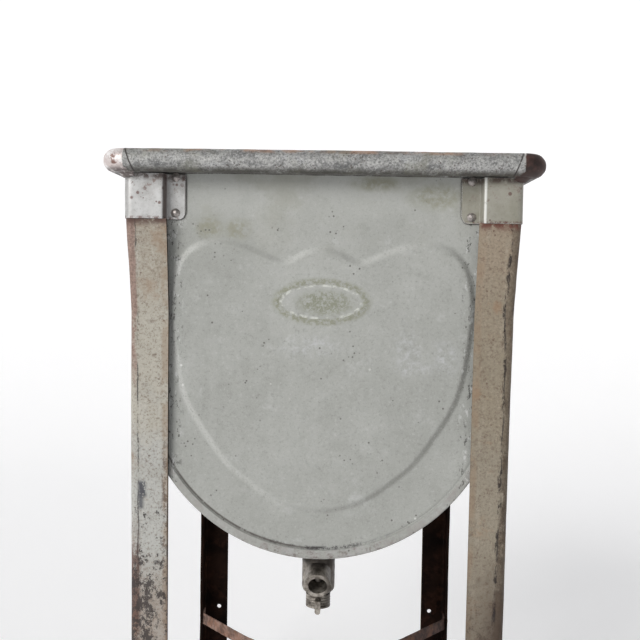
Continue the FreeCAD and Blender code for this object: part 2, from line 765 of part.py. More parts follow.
def cross_brace(name, lift, swap):
    """A whole strip, corner to corner, drilled for its three rivets; swap mirrors the diagonal."""
    near = half_brace(lift)
    far = near.copy()
    far.rotate(V(0, 0, 0), V(0, 0, 1), 180)
    shape = near.fuse(far).removeSplitter()
    along, height = brace_rivet_place()
    depth = value("Size.leg_side_face")
    shank = value("Size.rivet_shank")
    for side in (-1, 1):
        drill = Part.makeCylinder(shank, 12, V(side * depth, side * along, height), V(-side, 0, 0))
        shape = shape.cut(drill)
    shape = shape.cut(Part.makeCylinder(shank, 60, V(0, 0, height - 30)))
    made = fixed(name + "_strip", shape)
    return mirror(name + "_twin", made, V(1, 0, 0)) if swap else made


brace_step = value("Size.brace_sheet") / 2 + 0.02
keep(cross_brace("brace_low", -brace_step, False), "cross_brace_lower")
keep(cross_brace("brace_high", brace_step, True), "cross_brace_upper")


def plain_rivet(name, place, inward, grip):
    """A round-headed rivet with a head at both ends."""
    head = value("Size.brace_rivet")
    dome = value("Size.brace_rivet_dome")
    ball = (head**2 + dome**2) / (2 * dome)
    near = Part.makeSphere(ball, V(0, 0, ball - dome)).common(Part.makeCylinder(head, dome, V(0, 0, -dome)))
    far = near.copy()
    far.rotate(V(0, 0, 0), V(1, 0, 0), 180)
    far.translate(V(0, 0, grip))
    stem = Part.makeCylinder(value("Size.rivet_shank"), grip)
    made = fixed(name, near.fuse([stem, far]).removeSplitter())
    made.Placement = FreeCAD.Placement(place, FreeCAD.Rotation(V(0, 0, 1), inward))
    return made


def leg_rivets():
    along, height = brace_rivet_place()
    depth = value("Size.leg_side_face")
    grip = value("Size.leg_sheet + Size.brace_sheet") + 0.04
    made = []
    for side in (-1, 1):
        for end in (-1, 1):
            place = V(side * depth, end * along, height)
            made.append(plain_rivet(f"leg_rivet_{side + 1}{end + 1}", place, V(-side, 0, 0), grip))
    return made


keep(compound("leg_rivet_group", *leg_rivets()), "brace_leg_rivets")
crossing_grip = value("2 * Size.brace_sheet") + 0.04
crossing_top = value("Size.brace_height") + crossing_grip / 2
keep(plain_rivet("crossing_rivet", V(0, 0, crossing_top), V(0, 0, -1), crossing_grip), "brace_centre_rivet")


# ---------------------------------------------------------------- drain cock

DRAIN_Y = "-Size.drain_back"


def upright(name, radius, foot, top):
    """A cylinder on the drain's axis between two heights."""
    return primitive("Part::Cylinder", name, ("0", DRAIN_Y, foot), Radius=radius, Height=f"{top} - ({foot})")


def lying(name, radius):
    """A cylinder along the bowl's axis, as long as the tank."""
    return primitive("Part::Cylinder", name, ("0", "-Size.end_face", "Size.bowl_axis_height"), ALONG_Y,
                     Radius=radius, Height="2 * Size.end_face")


def strainer_flange():
    """Flange seated in the bowl with a threaded spigot down through the sheet and a cross strainer."""
    inside = "Size.shell_radius - Size.wall_sheet"
    bowl_foot = f"Size.bowl_axis_height - ({inside})"
    disc = upright("flange_disc", "Size.flange_radius", f"{bowl_foot} - 3", f"{bowl_foot} + Size.flange_rise")
    seated = common("flange_seated", disc, lying("flange_bowl", inside))
    spigot = upright("flange_spigot", "Size.spigot_radius", "Size.spigot_foot", f"{bowl_foot} + 2")
    bore = upright("flange_bore", "Size.spigot_bore", "Size.spigot_foot - 1",
                   f"{bowl_foot} + Size.flange_rise + 1")
    drilled = cut("flange_drilled", fuse("flange_solid", seated, spigot), bore)
    bars = []
    for name, across, along in (("bar_x", "2 * Size.spigot_bore + 1", "Size.strainer_bar"),
                                ("bar_y", "Size.strainer_bar", "2 * Size.spigot_bore + 1")):
        bars.append(primitive("Part::Box", f"strainer_{name}",
                              (f"-({across}) / 2", f"{DRAIN_Y} - ({along}) / 2", f"{bowl_foot} + 1"),
                              Length=across, Width=along, Height="2.5"))
    return fuse("flange_whole", drilled, *bars)


def saddle_gasket():
    """Thick ring under the sheet, shaped to the bowl above and flat below."""
    ring_outer = upright("gasket_outer", "Size.gasket_radius", "Size.gasket_foot", "Size.gasket_foot + 12")
    ring_inner = upright("gasket_inner", "Size.spigot_radius + 0.1", "Size.gasket_foot - 1",
                         "Size.gasket_foot + 13")
    return cut("gasket_ring", ring_outer,
               compound("gasket_waste", ring_inner, lying("gasket_bowl", "Size.shell_radius")))


def locknut():
    hexagon = document.addObject("Part::Prism", "locknut_hexagon")
    hexagon.Polygon = 6
    bind(hexagon, Circumradius="Size.locknut_flats / 2 / cos(30 deg)",
         Height="Size.gasket_foot - Size.locknut_foot", Placement__Base__y=DRAIN_Y,
         Placement__Base__z="Size.locknut_foot")
    bore = upright("locknut_bore", "Size.spigot_radius + Size.running_gap", "Size.locknut_foot - 1",
                   "Size.gasket_foot + 1")
    crown = primitive("Part::Cone", "locknut_chamfer", ("0", DRAIN_Y, "Size.locknut_foot"),
                      Radius1="Size.locknut_flats / 2 * 1.02", Radius2="Size.locknut_flats / 2 + 12",
                      Height="Size.gasket_foot - Size.locknut_foot")
    return cut("locknut_whole", common("locknut_shaped", hexagon, crown), bore)


def nozzle_cylinder(name, radius, length, start="0"):
    """A cylinder along the nozzle, which leaves the drain's axis forward and down."""
    made = document.addObject("Part::Cylinder", name)
    angle = value("Size.nozzle_angle")
    turn = FreeCAD.Rotation(V(1, 0, 0), 90 + angle)
    out = turn.multVec(V(0, 0, 1)) * value(start)
    made.Placement = FreeCAD.Placement(
        V(0, -value("Size.drain_back"), value("Size.nozzle_height")) + out, turn)
    return bind(made, Radius=radius, Height=length)


def valve_body():
    """Round body under the locknut, bored for the plug, with a spout leaning forward and down."""
    barrel = upright("barrel", "Size.body_radius", "Size.body_foot", "Size.body_top")
    rounded = document.addObject("Part::Fillet", "barrel_rounded")
    rounded.Base = barrel
    document.recompute()
    middle = value("(Size.body_foot + Size.body_top) / 2")
    rounds = []
    for index, edge in enumerate(barrel.Shape.Edges, start=1):
        if len(edge.Vertexes) == 1:
            radius = value("Size.body_round" if edge.BoundBox.ZMax < middle else "Size.body_shoulder")
            rounds.append((index, radius, radius))
    rounded.Edges = rounds
    spout = nozzle_cylinder("spout", "Size.nozzle_radius", "Size.nozzle_length")
    bead = nozzle_cylinder("spout_bead", "Size.nozzle_radius + 1", "4", "Size.nozzle_length - 4")
    inlet = upright("inlet", "Size.spigot_radius + Size.running_gap", "Size.spigot_foot", "Size.body_top + 1")
    throat = upright("plug_seat", "Size.plug_radius + Size.running_gap",
                     "Size.body_foot + Size.body_floor", "Size.spigot_foot + 1")
    neck = upright("stem_seat", "Size.stem_radius + Size.running_gap", "Size.body_foot - 1",
                   "Size.body_foot + Size.body_floor + 1")
    bore = nozzle_cylinder("spout_bore", "Size.nozzle_bore", "Size.nozzle_length + 5")
    hollow = fuse("body_hollow", inlet, throat, neck, bore)
    return cut("body_whole", fuse("body_solid", rounded, spout, bead), hollow)


def valve_plug():
    """Hollow plug, open above, with one side port that faces sideways when the cock is shut."""
    foot = "Size.body_foot + Size.body_floor + 0.2"
    barrel = upright("plug_barrel", "Size.plug_radius", foot, "Size.plug_top")
    stem = upright("plug_stem", "Size.stem_radius", "Size.knob_top + 0.3", f"{foot} + 1")
    square = primitive("Part::Box", "plug_square",
                       ("-Size.stem_square / 2", f"{DRAIN_Y} - Size.stem_square / 2", "Size.knob_foot + 1"),
                       Length="Size.stem_square", Width="Size.stem_square",
                       Height="Size.knob_top - Size.knob_foot")
    bore = upright("plug_bore", "Size.plug_bore", f"{foot} + Size.plug_floor", "Size.plug_top + 1")
    port = nozzle_cylinder("plug_port", "Size.plug_bore", "2 * Size.plug_radius")
    spin = FreeCAD.Placement(V(0, 0, 0), FreeCAD.Rotation(V(0, 0, 1), 90), V(0, -value("Size.drain_back"), 0))
    port.Placement = spin.multiply(port.Placement)
    thread = upright("plug_thread", "Size.screw_shank + Size.running_gap", "Size.knob_foot - 1",
                     "Size.knob_foot + Size.screw_length")
    hollow = fuse("plug_hollow", bore, port, thread)
    return cut("plug_whole", fuse("plug_solid", barrel, stem, square), hollow)


def plug_knob():
    """Knob with turned rings on the plug's square, and an upright finger tab in front."""
    grip = upright("knob_grip", "Size.knob_radius", "Size.knob_foot", "Size.knob_top")
    tab = primitive("Part::Box", "finger_tab",
                    ("-Size.fin_width / 2", f"{DRAIN_Y} - Size.fin_reach", "Size.fin_foot + Size.fin_width / 2"),
                    Length="Size.fin_width", Width="Size.fin_reach - Size.knob_radius + 3",
                    Height="Size.fin_top - Size.fin_foot - Size.fin_width / 2")
    toe = primitive("Part::Cylinder", "finger_toe",
                    ("0", f"{DRAIN_Y} - Size.fin_reach", "Size.fin_foot + Size.fin_width / 2"), ALONG_Y,
                    Radius="Size.fin_width / 2", Height="Size.fin_reach - Size.knob_radius + 3")
    square = primitive("Part::Box", "knob_square",
                       ("-Size.stem_square / 2 - 0.05", f"{DRAIN_Y} - Size.stem_square / 2 - 0.05",
                        "Size.knob_foot - 1"),
                       Length="Size.stem_square + 0.1", Width="Size.stem_square + 0.1",
                       Height="Size.knob_top - Size.knob_foot + 2")
    grooves = []
    count = int(value("Size.knob_ribs"))
    pitch = value("(Size.knob_top - Size.knob_foot) / Size.knob_ribs")
    for step in range(1, count):
        groove = primitive("Part::Torus", f"knob_groove_{step}",
                           ("0", DRAIN_Y, f"Size.knob_foot + {step * pitch}"),
                           Radius1="Size.knob_radius", Radius2="Size.knob_rib")
        grooves.append(groove)
    ringed = cut("knob_ringed", grip, compound("knob_grooves", *grooves))
    return cut("knob_whole", fuse("knob_solid", ringed, tab, toe), square)


def knob_screw():
    """Slotted screw that holds the knob up against the plug's square."""
    head = upright("screw_head", "Size.screw_head", "Size.knob_foot - Size.screw_rise", "Size.knob_foot")
    shank = upright("screw_shank", "Size.screw_shank", "Size.knob_foot - 1",
                    "Size.knob_foot + Size.screw_length - 1")
    slot = primitive("Part::Box", "screw_slot",
                     ("-Size.screw_head - 1", f"{DRAIN_Y} - 0.6", "Size.knob_foot - Size.screw_rise - 1"),
                     Length="2 * Size.screw_head + 2", Width="1.2", Height="2.2")
    return cut("screw_whole", fuse("screw_solid", head, shank), slot)


keep(strainer_flange(), "drain_flange")
keep(saddle_gasket(), "drain_gasket")
keep(locknut(), "drain_locknut")
keep(valve_body(), "valve_body")
keep(valve_plug(), "valve_plug")
keep(plug_knob(), "valve_knob")
keep(knob_screw(), "knob_screw")


# ---------------------------------------------------------------- checks and files

document.recompute()
for thing in document.Objects:
    if "Invalid" in thing.State or "Error" in thing.State:
        raise RuntimeError(f"{thing.Name} failed: {thing.State}")
os.makedirs("parts", exist_ok=True)
for node in nodes:
    if node.Shape.isNull() or not node.Shape.isValid():
        raise RuntimeError(f"{node.Label} has no valid shape")
    print(f"{node.Label:28s} {len(node.Shape.Solids):3d} solids {node.Shape.Volume / 1000:10.2f} cm3")
    node.Shape.exportStep(f"parts/{node.Label}.step")
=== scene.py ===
"""Looks of the half-round wash tank: weathered sheet, rolled rim, sockets, legs, braces and drain cock."""
import math

import bmesh
import bpy
import numpy as np
from mathutils import Matrix, Vector
from mathutils.kdtree import KDTree


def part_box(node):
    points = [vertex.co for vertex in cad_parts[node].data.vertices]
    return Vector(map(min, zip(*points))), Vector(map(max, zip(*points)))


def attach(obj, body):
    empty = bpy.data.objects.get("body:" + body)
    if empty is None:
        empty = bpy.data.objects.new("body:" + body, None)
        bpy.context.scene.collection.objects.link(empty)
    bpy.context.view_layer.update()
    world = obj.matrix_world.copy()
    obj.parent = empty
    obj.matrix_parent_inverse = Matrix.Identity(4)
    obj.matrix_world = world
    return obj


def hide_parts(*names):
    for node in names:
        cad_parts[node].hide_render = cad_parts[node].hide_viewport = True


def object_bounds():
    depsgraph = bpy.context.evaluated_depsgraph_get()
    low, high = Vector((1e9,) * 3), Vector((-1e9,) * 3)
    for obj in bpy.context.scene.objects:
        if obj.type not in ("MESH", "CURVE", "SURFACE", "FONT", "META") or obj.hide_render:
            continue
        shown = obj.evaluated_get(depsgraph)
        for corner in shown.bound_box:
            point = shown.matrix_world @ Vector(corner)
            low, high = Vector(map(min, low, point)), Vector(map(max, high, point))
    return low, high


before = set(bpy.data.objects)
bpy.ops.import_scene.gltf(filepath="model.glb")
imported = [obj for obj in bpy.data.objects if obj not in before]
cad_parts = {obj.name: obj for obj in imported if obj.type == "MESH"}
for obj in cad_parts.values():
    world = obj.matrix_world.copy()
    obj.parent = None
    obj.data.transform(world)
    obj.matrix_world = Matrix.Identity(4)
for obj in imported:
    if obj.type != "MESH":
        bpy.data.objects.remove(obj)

MM = 0.001
SHARP = math.radians(38)    # edges that turn further than this keep a hard shading line


def plain_box():
    """The whole object's box as plain numbers."""
    low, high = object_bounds()
    return [[float(v) for v in low], [float(v) for v in high]]


cad_box = plain_box()


# ---- sizes read from the frame

def mid(node):
    low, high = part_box(node)
    return (low + high) / 2


RIM_Z = mid("rim_pipe_front").z
ROLL_Y = -mid("rim_pipe_front").y
ROLL_X = mid("rim_pipe_right").x
CAP_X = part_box("rim_pipe_front")[1].x
ROLL_R = ROLL_X - CAP_X - 2 * MM
CAP_HALF = 13 * MM      # half the height of a cap's sleeve round the roll
CAP_SLANT = 10 / 26     # how far the sleeve's end leans in for each metre down
SHEET = 1.2 * MM
SEAM_R = 206.6 * MM
SHELL_R = 205.2 * MM
END_Y = 289 * MM        # outer face of the end sheets
SEAM_Y = 291 * MM       # outer face of the seam round the U
BOWL_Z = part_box("tub_shell")[0].z + SHELL_R
WALL_TOP = 858 * MM
RIM_TOP = RIM_Z + ROLL_R
DRAIN = Vector((0, mid("valve_plug").y, 0))
LEG_X, LEG_Y = 212.6 * MM, 296 * MM
LEG_FLANGE = 42.5 * MM
LEG_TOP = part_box("leg_front_left")[1].z
LEG_LEANS = [(0.0, 0.0), (0.300, 0.0), (0.700, 3.4 * MM), (0.8049, 8.4 * MM)]
SEAT_Z = LEG_LEANS[-1][0]
NECK_FLANGE = 39.7 * MM
# where a socket's fold runs (painted shade on the bright sockets, painted highlight on the greenish ones),
# and its flange's dark rim of dirt and painted shadow, across from the middle
SOCKET_FOLD = {"bright": (176.2 * MM, 178.4 * MM), "greenish": (178.2 * MM, 181.0 * MM)}
FLANGE_RIM = (154.5 * MM, 156.0 * MM)
BRACE_Z = mid("brace_centre_rivet").z


# ---- shapes

def smoothstep(value, low, high):
    share = np.clip((value - low) / (high - low), 0, 1)
    return share * share * (3 - 2 * share)


def ripple(points, wavelength, seed):
    """A smooth random field of about -1 to 1 over points in space, the same each run."""
    waves = 9
    draw = np.random.default_rng(seed)
    directions = draw.normal(size=(waves, 3))
    directions /= np.linalg.norm(directions, axis=1)[:, None]
    pitch = 2 * math.pi / wavelength * draw.uniform(0.6, 1.5, waves)
    phase = draw.uniform(0, 2 * math.pi, waves)
    angles = np.tensordot(points, directions.T, axes=1) * pitch + phase
    return np.sin(angles).sum(axis=-1) / math.sqrt(waves) * 0.7


def added(name, mesh):
    """A new object for a mesh or other data, in the scene."""
    made = bpy.data.objects.new(name, mesh)
    bpy.context.scene.collection.objects.link(made)
    return made


def points_of(piece):
    return np.array([v.co for v in piece.data.vertices])


def make_object(name, points, faces):
    mesh = bpy.data.meshes.new(name)
    mesh.from_pydata([tuple(point) for point in points], [], faces)
    mesh.validate()
    made = added(name, mesh)
    tidy(made)
    return made


def dents(points, seed, *kinds):
    """Sums smooth fields, given as (wavelength, how far it sinks, depth in mm), with seeds in a row."""
    return sum((ripple(points, wave, seed + step) - sink) * depth * MM
               for step, (wave, sink, depth) in enumerate(kinds))


def tidy(made):
    """Welds doubled points, turns the faces outward, and keeps only real corners sharp."""
    work = bmesh.new()
    work.from_mesh(made.data)
    bmesh.ops.remove_doubles(work, verts=work.verts, dist=0.02 * MM)
    bmesh.ops.dissolve_degenerate(work, edges=work.edges, dist=0.01 * MM)
    bmesh.ops.recalc_face_normals(work, faces=work.faces)
    work.to_mesh(made.data)
    work.free()
    made.data.polygons.foreach_set("use_smooth", [True] * len(made.data.polygons))
    made.data.set_sharp_from_angle(angle=SHARP)


def grid_normals(grid):
    across = np.gradient(grid, axis=0)
    along = np.gradient(grid, axis=1)
    normal = np.cross(across, along)
    length = np.linalg.norm(normal, axis=-1, keepdims=True)
    return normal / np.maximum(length, 1e-12)


def pushed(grid, wave, faces_out):
    """A grid pushed in and out by a wave; faces_out says whether its own normals point outward."""
    return grid + grid_normals(grid) * (wave if faces_out else -wave)[..., None]


def sheet_piece(name, grid, thickness, flip=False, lip=0.38, inner=None, open_start=False):
    """A closed sheet: the grid is its outer face, and its free edges have a rounded lip.

    With open_start the first column has no lip, because it welds to itself across the middle.
    """
    if inner is None:
        inner = grid - grid_normals(grid) * (-thickness if flip else thickness)
    rows, columns = grid.shape[:2]
    count = rows * columns
    index = np.arange(count).reshape(rows, columns)
    quads = np.stack([index[:-1, :-1], index[1:, :-1], index[1:, 1:], index[:-1, 1:]], axis=-1).reshape(-1, 4)
    faces = quads.tolist() + (quads[:, ::-1] + count).tolist()
    loop = [(0, c) for c in range(columns)] + [(r, columns - 1) for r in range(1, rows)]
    loop += [(rows - 1, c) for c in range(columns - 2, -1, -1)]
    if not open_start:
        loop += [(r, 0) for r in range(rows - 2, 0, -1)]
    edge_points = []
    for row, column in loop:
        back_row = min(max(row, 1), rows - 2)
        back_column = min(max(column, 1), columns - 2)
        outward = grid[row, column] - grid[back_row, back_column]
        size = np.linalg.norm(outward)
        outward = outward / size if size > 1e-9 else outward
        edge_points.append((grid[row, column] + inner[row, column]) / 2 + outward * thickness * lip)
    start = 2 * count
    steps = range(len(loop) - 1) if open_start else range(len(loop))
    for step in steps:
        after = (step + 1) % len(loop)
        here, there = index[loop[step]], index[loop[after]]
        faces.append([here, there, start + after, start + step])
        faces.append([start + step, start + after, there + count, here + count])
    points = np.concatenate([grid.reshape(-1, 3), inner.reshape(-1, 3), np.array(edge_points)])
    made = make_object(name, points, faces)
    marks = made.data.attributes.new("lip", "FLOAT", "POINT")
    near = KDTree(len(edge_points))
    for number, point in enumerate(edge_points):
        near.insert(point, number)
    near.balance()
    reach = thickness * 0.2
    marks.data.foreach_set("value", [1.0 if near.find(v.co)[2] < reach else 0.0 for v in made.data.vertices])
    return made


def put(piece, body, material, *nodes, slot=None):
    """Material, body and the CAD nodes that a piece stands for, kept inside the whole object's box."""
    piece.data.vertices.foreach_set("co", points_of(piece).clip(*np.array(cad_box)).ravel())
    piece.data.update()
    piece.data.materials.clear()
    piece.data.materials.append(material)
    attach(piece, body)
    if nodes:
        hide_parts(*nodes)
    return piece


def baked(piece):
    """Applies the piece's modifiers to its mesh."""
    graph = bpy.context.evaluated_depsgraph_get()
    mesh = bpy.data.meshes.new_from_object(piece.evaluated_get(graph))
    piece.modifiers.clear()
    piece.data = mesh
    return piece


def drill(piece, radius, start, end, sides=48):
    """Cuts a round hole through a piece."""
    start, end = Vector(start), Vector(end)
    work = bmesh.new()
    turn = (end - start).to_track_quat("Z", "Y").to_matrix().to_4x4()
    place = Matrix.Translation((start + end) / 2) @ turn
    bmesh.ops.create_cone(work, cap_ends=True, segments=sides, radius1=radius, radius2=radius,
                          depth=(end - start).length, matrix=place)
    mesh = bpy.data.meshes.new("drill")
    work.to_mesh(mesh)
    work.free()
    cutter = added("drill", mesh)
    hole = piece.modifiers.new("hole", "BOOLEAN")
    hole.operation = "DIFFERENCE"
    hole.solver = "EXACT"
    hole.object = cutter
    bpy.context.view_layer.update()
    baked(piece)
    bpy.data.objects.remove(cutter)
    piece.data.set_sharp_from_angle(angle=SHARP)
    return piece


def carried(node, name, voxel, smooth, dent=0.0, wavelength=9 * MM, seed=1):
    """A copy of a CAD node's mesh, softened as a casting by remeshing and dented a little."""
    piece = added(name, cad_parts[node].data.copy())
    work = bmesh.new()
    work.from_mesh(piece.data)
    bmesh.ops.remove_doubles(work, verts=work.verts, dist=0.001 * MM)
    work.to_mesh(piece.data)
    work.free()
    remesh = piece.modifiers.new("remesh", "REMESH")
    remesh.mode = "VOXEL"
    remesh.voxel_size = voxel
    remesh.use_smooth_shade = True
    soft = piece.modifiers.new("soft", "SMOOTH")
    soft.iterations = smooth
    soft.factor = 0.5
    bpy.context.view_layer.update()
    baked(piece)
    if dent:
        points = points_of(piece)
        normals = np.array([v.normal for v in piece.data.vertices])
        sink = (ripple(points, wavelength, seed) - 1.0).clip(-2, 0) * dent / 2
        piece.data.vertices.foreach_set("co", (points + normals * sink[:, None]).ravel())
    piece.data.polygons.foreach_set("use_smooth", [True] * len(piece.data.polygons))
    piece.data.set_sharp_from_angle(angle=math.radians(40))
    piece.data.update()
    return piece


# ---- materials

class Value:
    """A number worked out by nodes, which other numbers can be added to, taken from or multiplied by."""

    def __init__(self, finish, socket):
        self.finish, self.socket = finish, socket

    def __abs__(self):
        return self.finish.math("ABSOLUTE", self)

    def step(self, low, high):
        """0 below low, 1 above high, smooth between; low above high turns it round."""
        made = self.finish.node("MapRange", {"Value": self, "From Min": low, "From Max": high,
                                                       "To Min": 0.0, "To Max": 1.0},
                                interpolation_type="SMOOTHSTEP", clamp=True)
        return Value(self.finish, made.outputs[0])

    def within(self, low, high, soft):
        """1 between two values, fading over soft outside them."""
        return self.step(low - soft, low + soft) * self.step(high + soft, high - soft)


def value_operator(operation, swapped=False):
    if swapped:
        return lambda self, other: self.finish.math(operation, other, self)
    return lambda self, other: self.finish.math(operation, self, other)


for sign, operation in (("add", "ADD"), ("sub", "SUBTRACT"), ("mul", "MULTIPLY"), ("truediv", "DIVIDE")):
    setattr(Value, f"__{sign}__", value_operator(operation))
    setattr(Value, f"__r{sign}__", value_operator(operation, swapped=True))


class Finish:
    """A node-built material. Its colour is laid on coat by coat, each through a mask."""

    def __init__(self, name):
        self.material = bpy.data.materials.new(name)
        self.material.use_nodes = True
        self.tree = self.material.node_tree
        self.tree.nodes.clear()
        self.shader = self.tree.nodes.new("ShaderNodeBsdfPrincipled")
        output = self.tree.nodes.new("ShaderNodeOutputMaterial")
        self.tree.links.new(self.shader.outputs["BSDF"], output.inputs["Surface"])
        self.place = self.tree.nodes.new("ShaderNodeTexCoord").outputs["Object"]
        split = self.tree.nodes.new("ShaderNodeSeparateXYZ")
        self.tree.links.new(self.place, split.inputs[0])
        self.x, self.y, self.z = (Value(self, socket) for socket in split.outputs)

    def feed(self, socket, value):
        if isinstance(value, Value):
            value = value.socket
        if isinstance(value, bpy.types.NodeSocket):
            self.tree.links.new(value, socket)
        elif isinstance(value, tuple) and len(value) == 3 and socket.type == "RGBA":
            socket.default_value = (*value, 1)
        else:
            socket.default_value = value

    def node(self, kind, inputs=(), **settings):
        made = self.tree.nodes.new("ShaderNode" + kind)
        for key, value in settings.items():
            setattr(made, key, value)
        for key, value in dict(inputs).items():
            self.feed(made.inputs[key], value)
        return made

    def math(self, operation, *values):
        return Value(self, self.node("Math", enumerate(values), operation=operation).outputs[0])

    def moved(self, stretch, shift):
        if not stretch and not any(shift):
            return self.place
        return self.node("Mapping", {"Vector": self.place, "Scale": stretch or (1, 1, 1),
                                               "Location": shift}).outputs[0]

    def noise(self, scale, detail=4, rough=0.55, stretch=None, shift=(0, 0, 0)):
        return Value(self, self.node("TexNoise", {
            "Vector": self.moved(stretch, shift), "Scale": scale, "Detail": detail, "Roughness": rough,
            "Distortion": 0.0}).outputs["Fac"])

    def cloudy(self, low, high, *noise, **place):
        """Patches of a noise, stepped between two of its values."""
        return self.noise(*noise, **place).step(low, high)

    def cells(self, scale, shift=(0, 0, 0)):
        return Value(self, self.node("TexVoronoi", {
            "Vector": self.moved(None, shift), "Scale": scale}).outputs["Distance"])

    def mix(self, share, low, high):
        return self.node("Mix", {0: share, 6: low, 7: high}, data_type="RGBA").outputs[2]

    def coat(self, tint, mask):
        """Lays a tint over the colour so far, where the mask is."""
        self.colour = self.mix(mask, self.colour, tint)

    def spots(self, scale, size, share, seed=0.0):
        """Round specks: cells of the scale, with specks of the size in this share of the surface."""
        near = self.cells(scale, (seed, seed * 0.7, seed * 0.3)).step(size, size * 0.55)
        return near * self.cloudy(1 - share, 1.06 - share, scale * 0.21, 2, shift=(seed * 1.3, 0.2, seed))

    def crevice(self, distance):
        """1 in corners and folds where ambient light is blocked, 0 on open faces; a dark laid through it is
        painted shade.
        """
        seen = self.node("AmbientOcclusion", {"Distance": distance}, samples=6, only_local=False)
        return Value(self, seen.outputs["AO"]).step(0.95, 0.35)

    def mark(self, name):
        return Value(self, self.node("Attribute", attribute_name=name).outputs["Fac"])

    def blob(self, x, z, wide, tall, soft):
        """1 inside an oval patch seen from the front, fading at its edge."""
        across = (self.x - x) / wide
        up = (self.z - z) / tall
        return self.math("SQRT", across * across + up * up).step(1.0, 1.0 - soft)

    def edge(self, radius):
        """1 along outer corners and folds within the radius, 0 on open faces."""
        soft = self.node("Bevel", {"Radius": radius}, samples=4).outputs[0]
        true = self.node("NewGeometry").outputs["Normal"]
        dot = self.node("VectorMath", {0: soft, 1: true}, operation="DOT_PRODUCT")
        return Value(self, dot.outputs["Value"]).step(0.985, 0.8)

    def past_cap(self):
        """How far a point on an end roll is inward of the cap's slanting sleeve end."""
        return CAP_X - (RIM_Z + CAP_HALF - self.z) * CAP_SLANT - abs(self.x)

    def finish(self, roughness, metallic, heights=(), specular=0.5):
        """Connects the colour and finish, with bumps given as (height, strength, distance)."""
        inputs = self.shader.inputs
        for name, value in (("Base Color", self.colour), ("Roughness", roughness), ("Metallic", metallic),
                            ("Specular IOR Level", specular)):
            self.feed(inputs[name], value)
        for height, strength, distance in heights:
            bump = self.node("Bump", {"Height": height, "Strength": strength, "Distance": distance})
            if inputs["Normal"].is_linked:
                self.feed(bump.inputs["Normal"], inputs["Normal"].links[0].from_socket)
            self.feed(inputs["Normal"], bump.outputs[0])
        return self.material


DARK_RUST = (0.055, 0.025, 0.016)
# grime and painted shade, laid into corners and folds through crevice()
GRIME_AND_SHADE = (0.050, 0.042, 0.034)
PALE_CHIP = (0.72, 0.72, 0.70)
# oval patches on the near end, as (across, height, half width, half height) in metres
OLIVE_STAINS = [(-0.128, 0.796, 0.021, 0.017), (-0.096, 0.795, 0.020, 0.016), (0.128, 0.835, 0.045, 0.022),
                (0.060, 0.848, 0.040, 0.012)]
PALE_BLOOMS = [(0.098, 0.662, 0.022, 0.030), (0.140, 0.652, 0.024, 0.030), (0.105, 0.640, 0.030, 0.012),
               (-0.010, 0.664, 0.055, 0.018)]


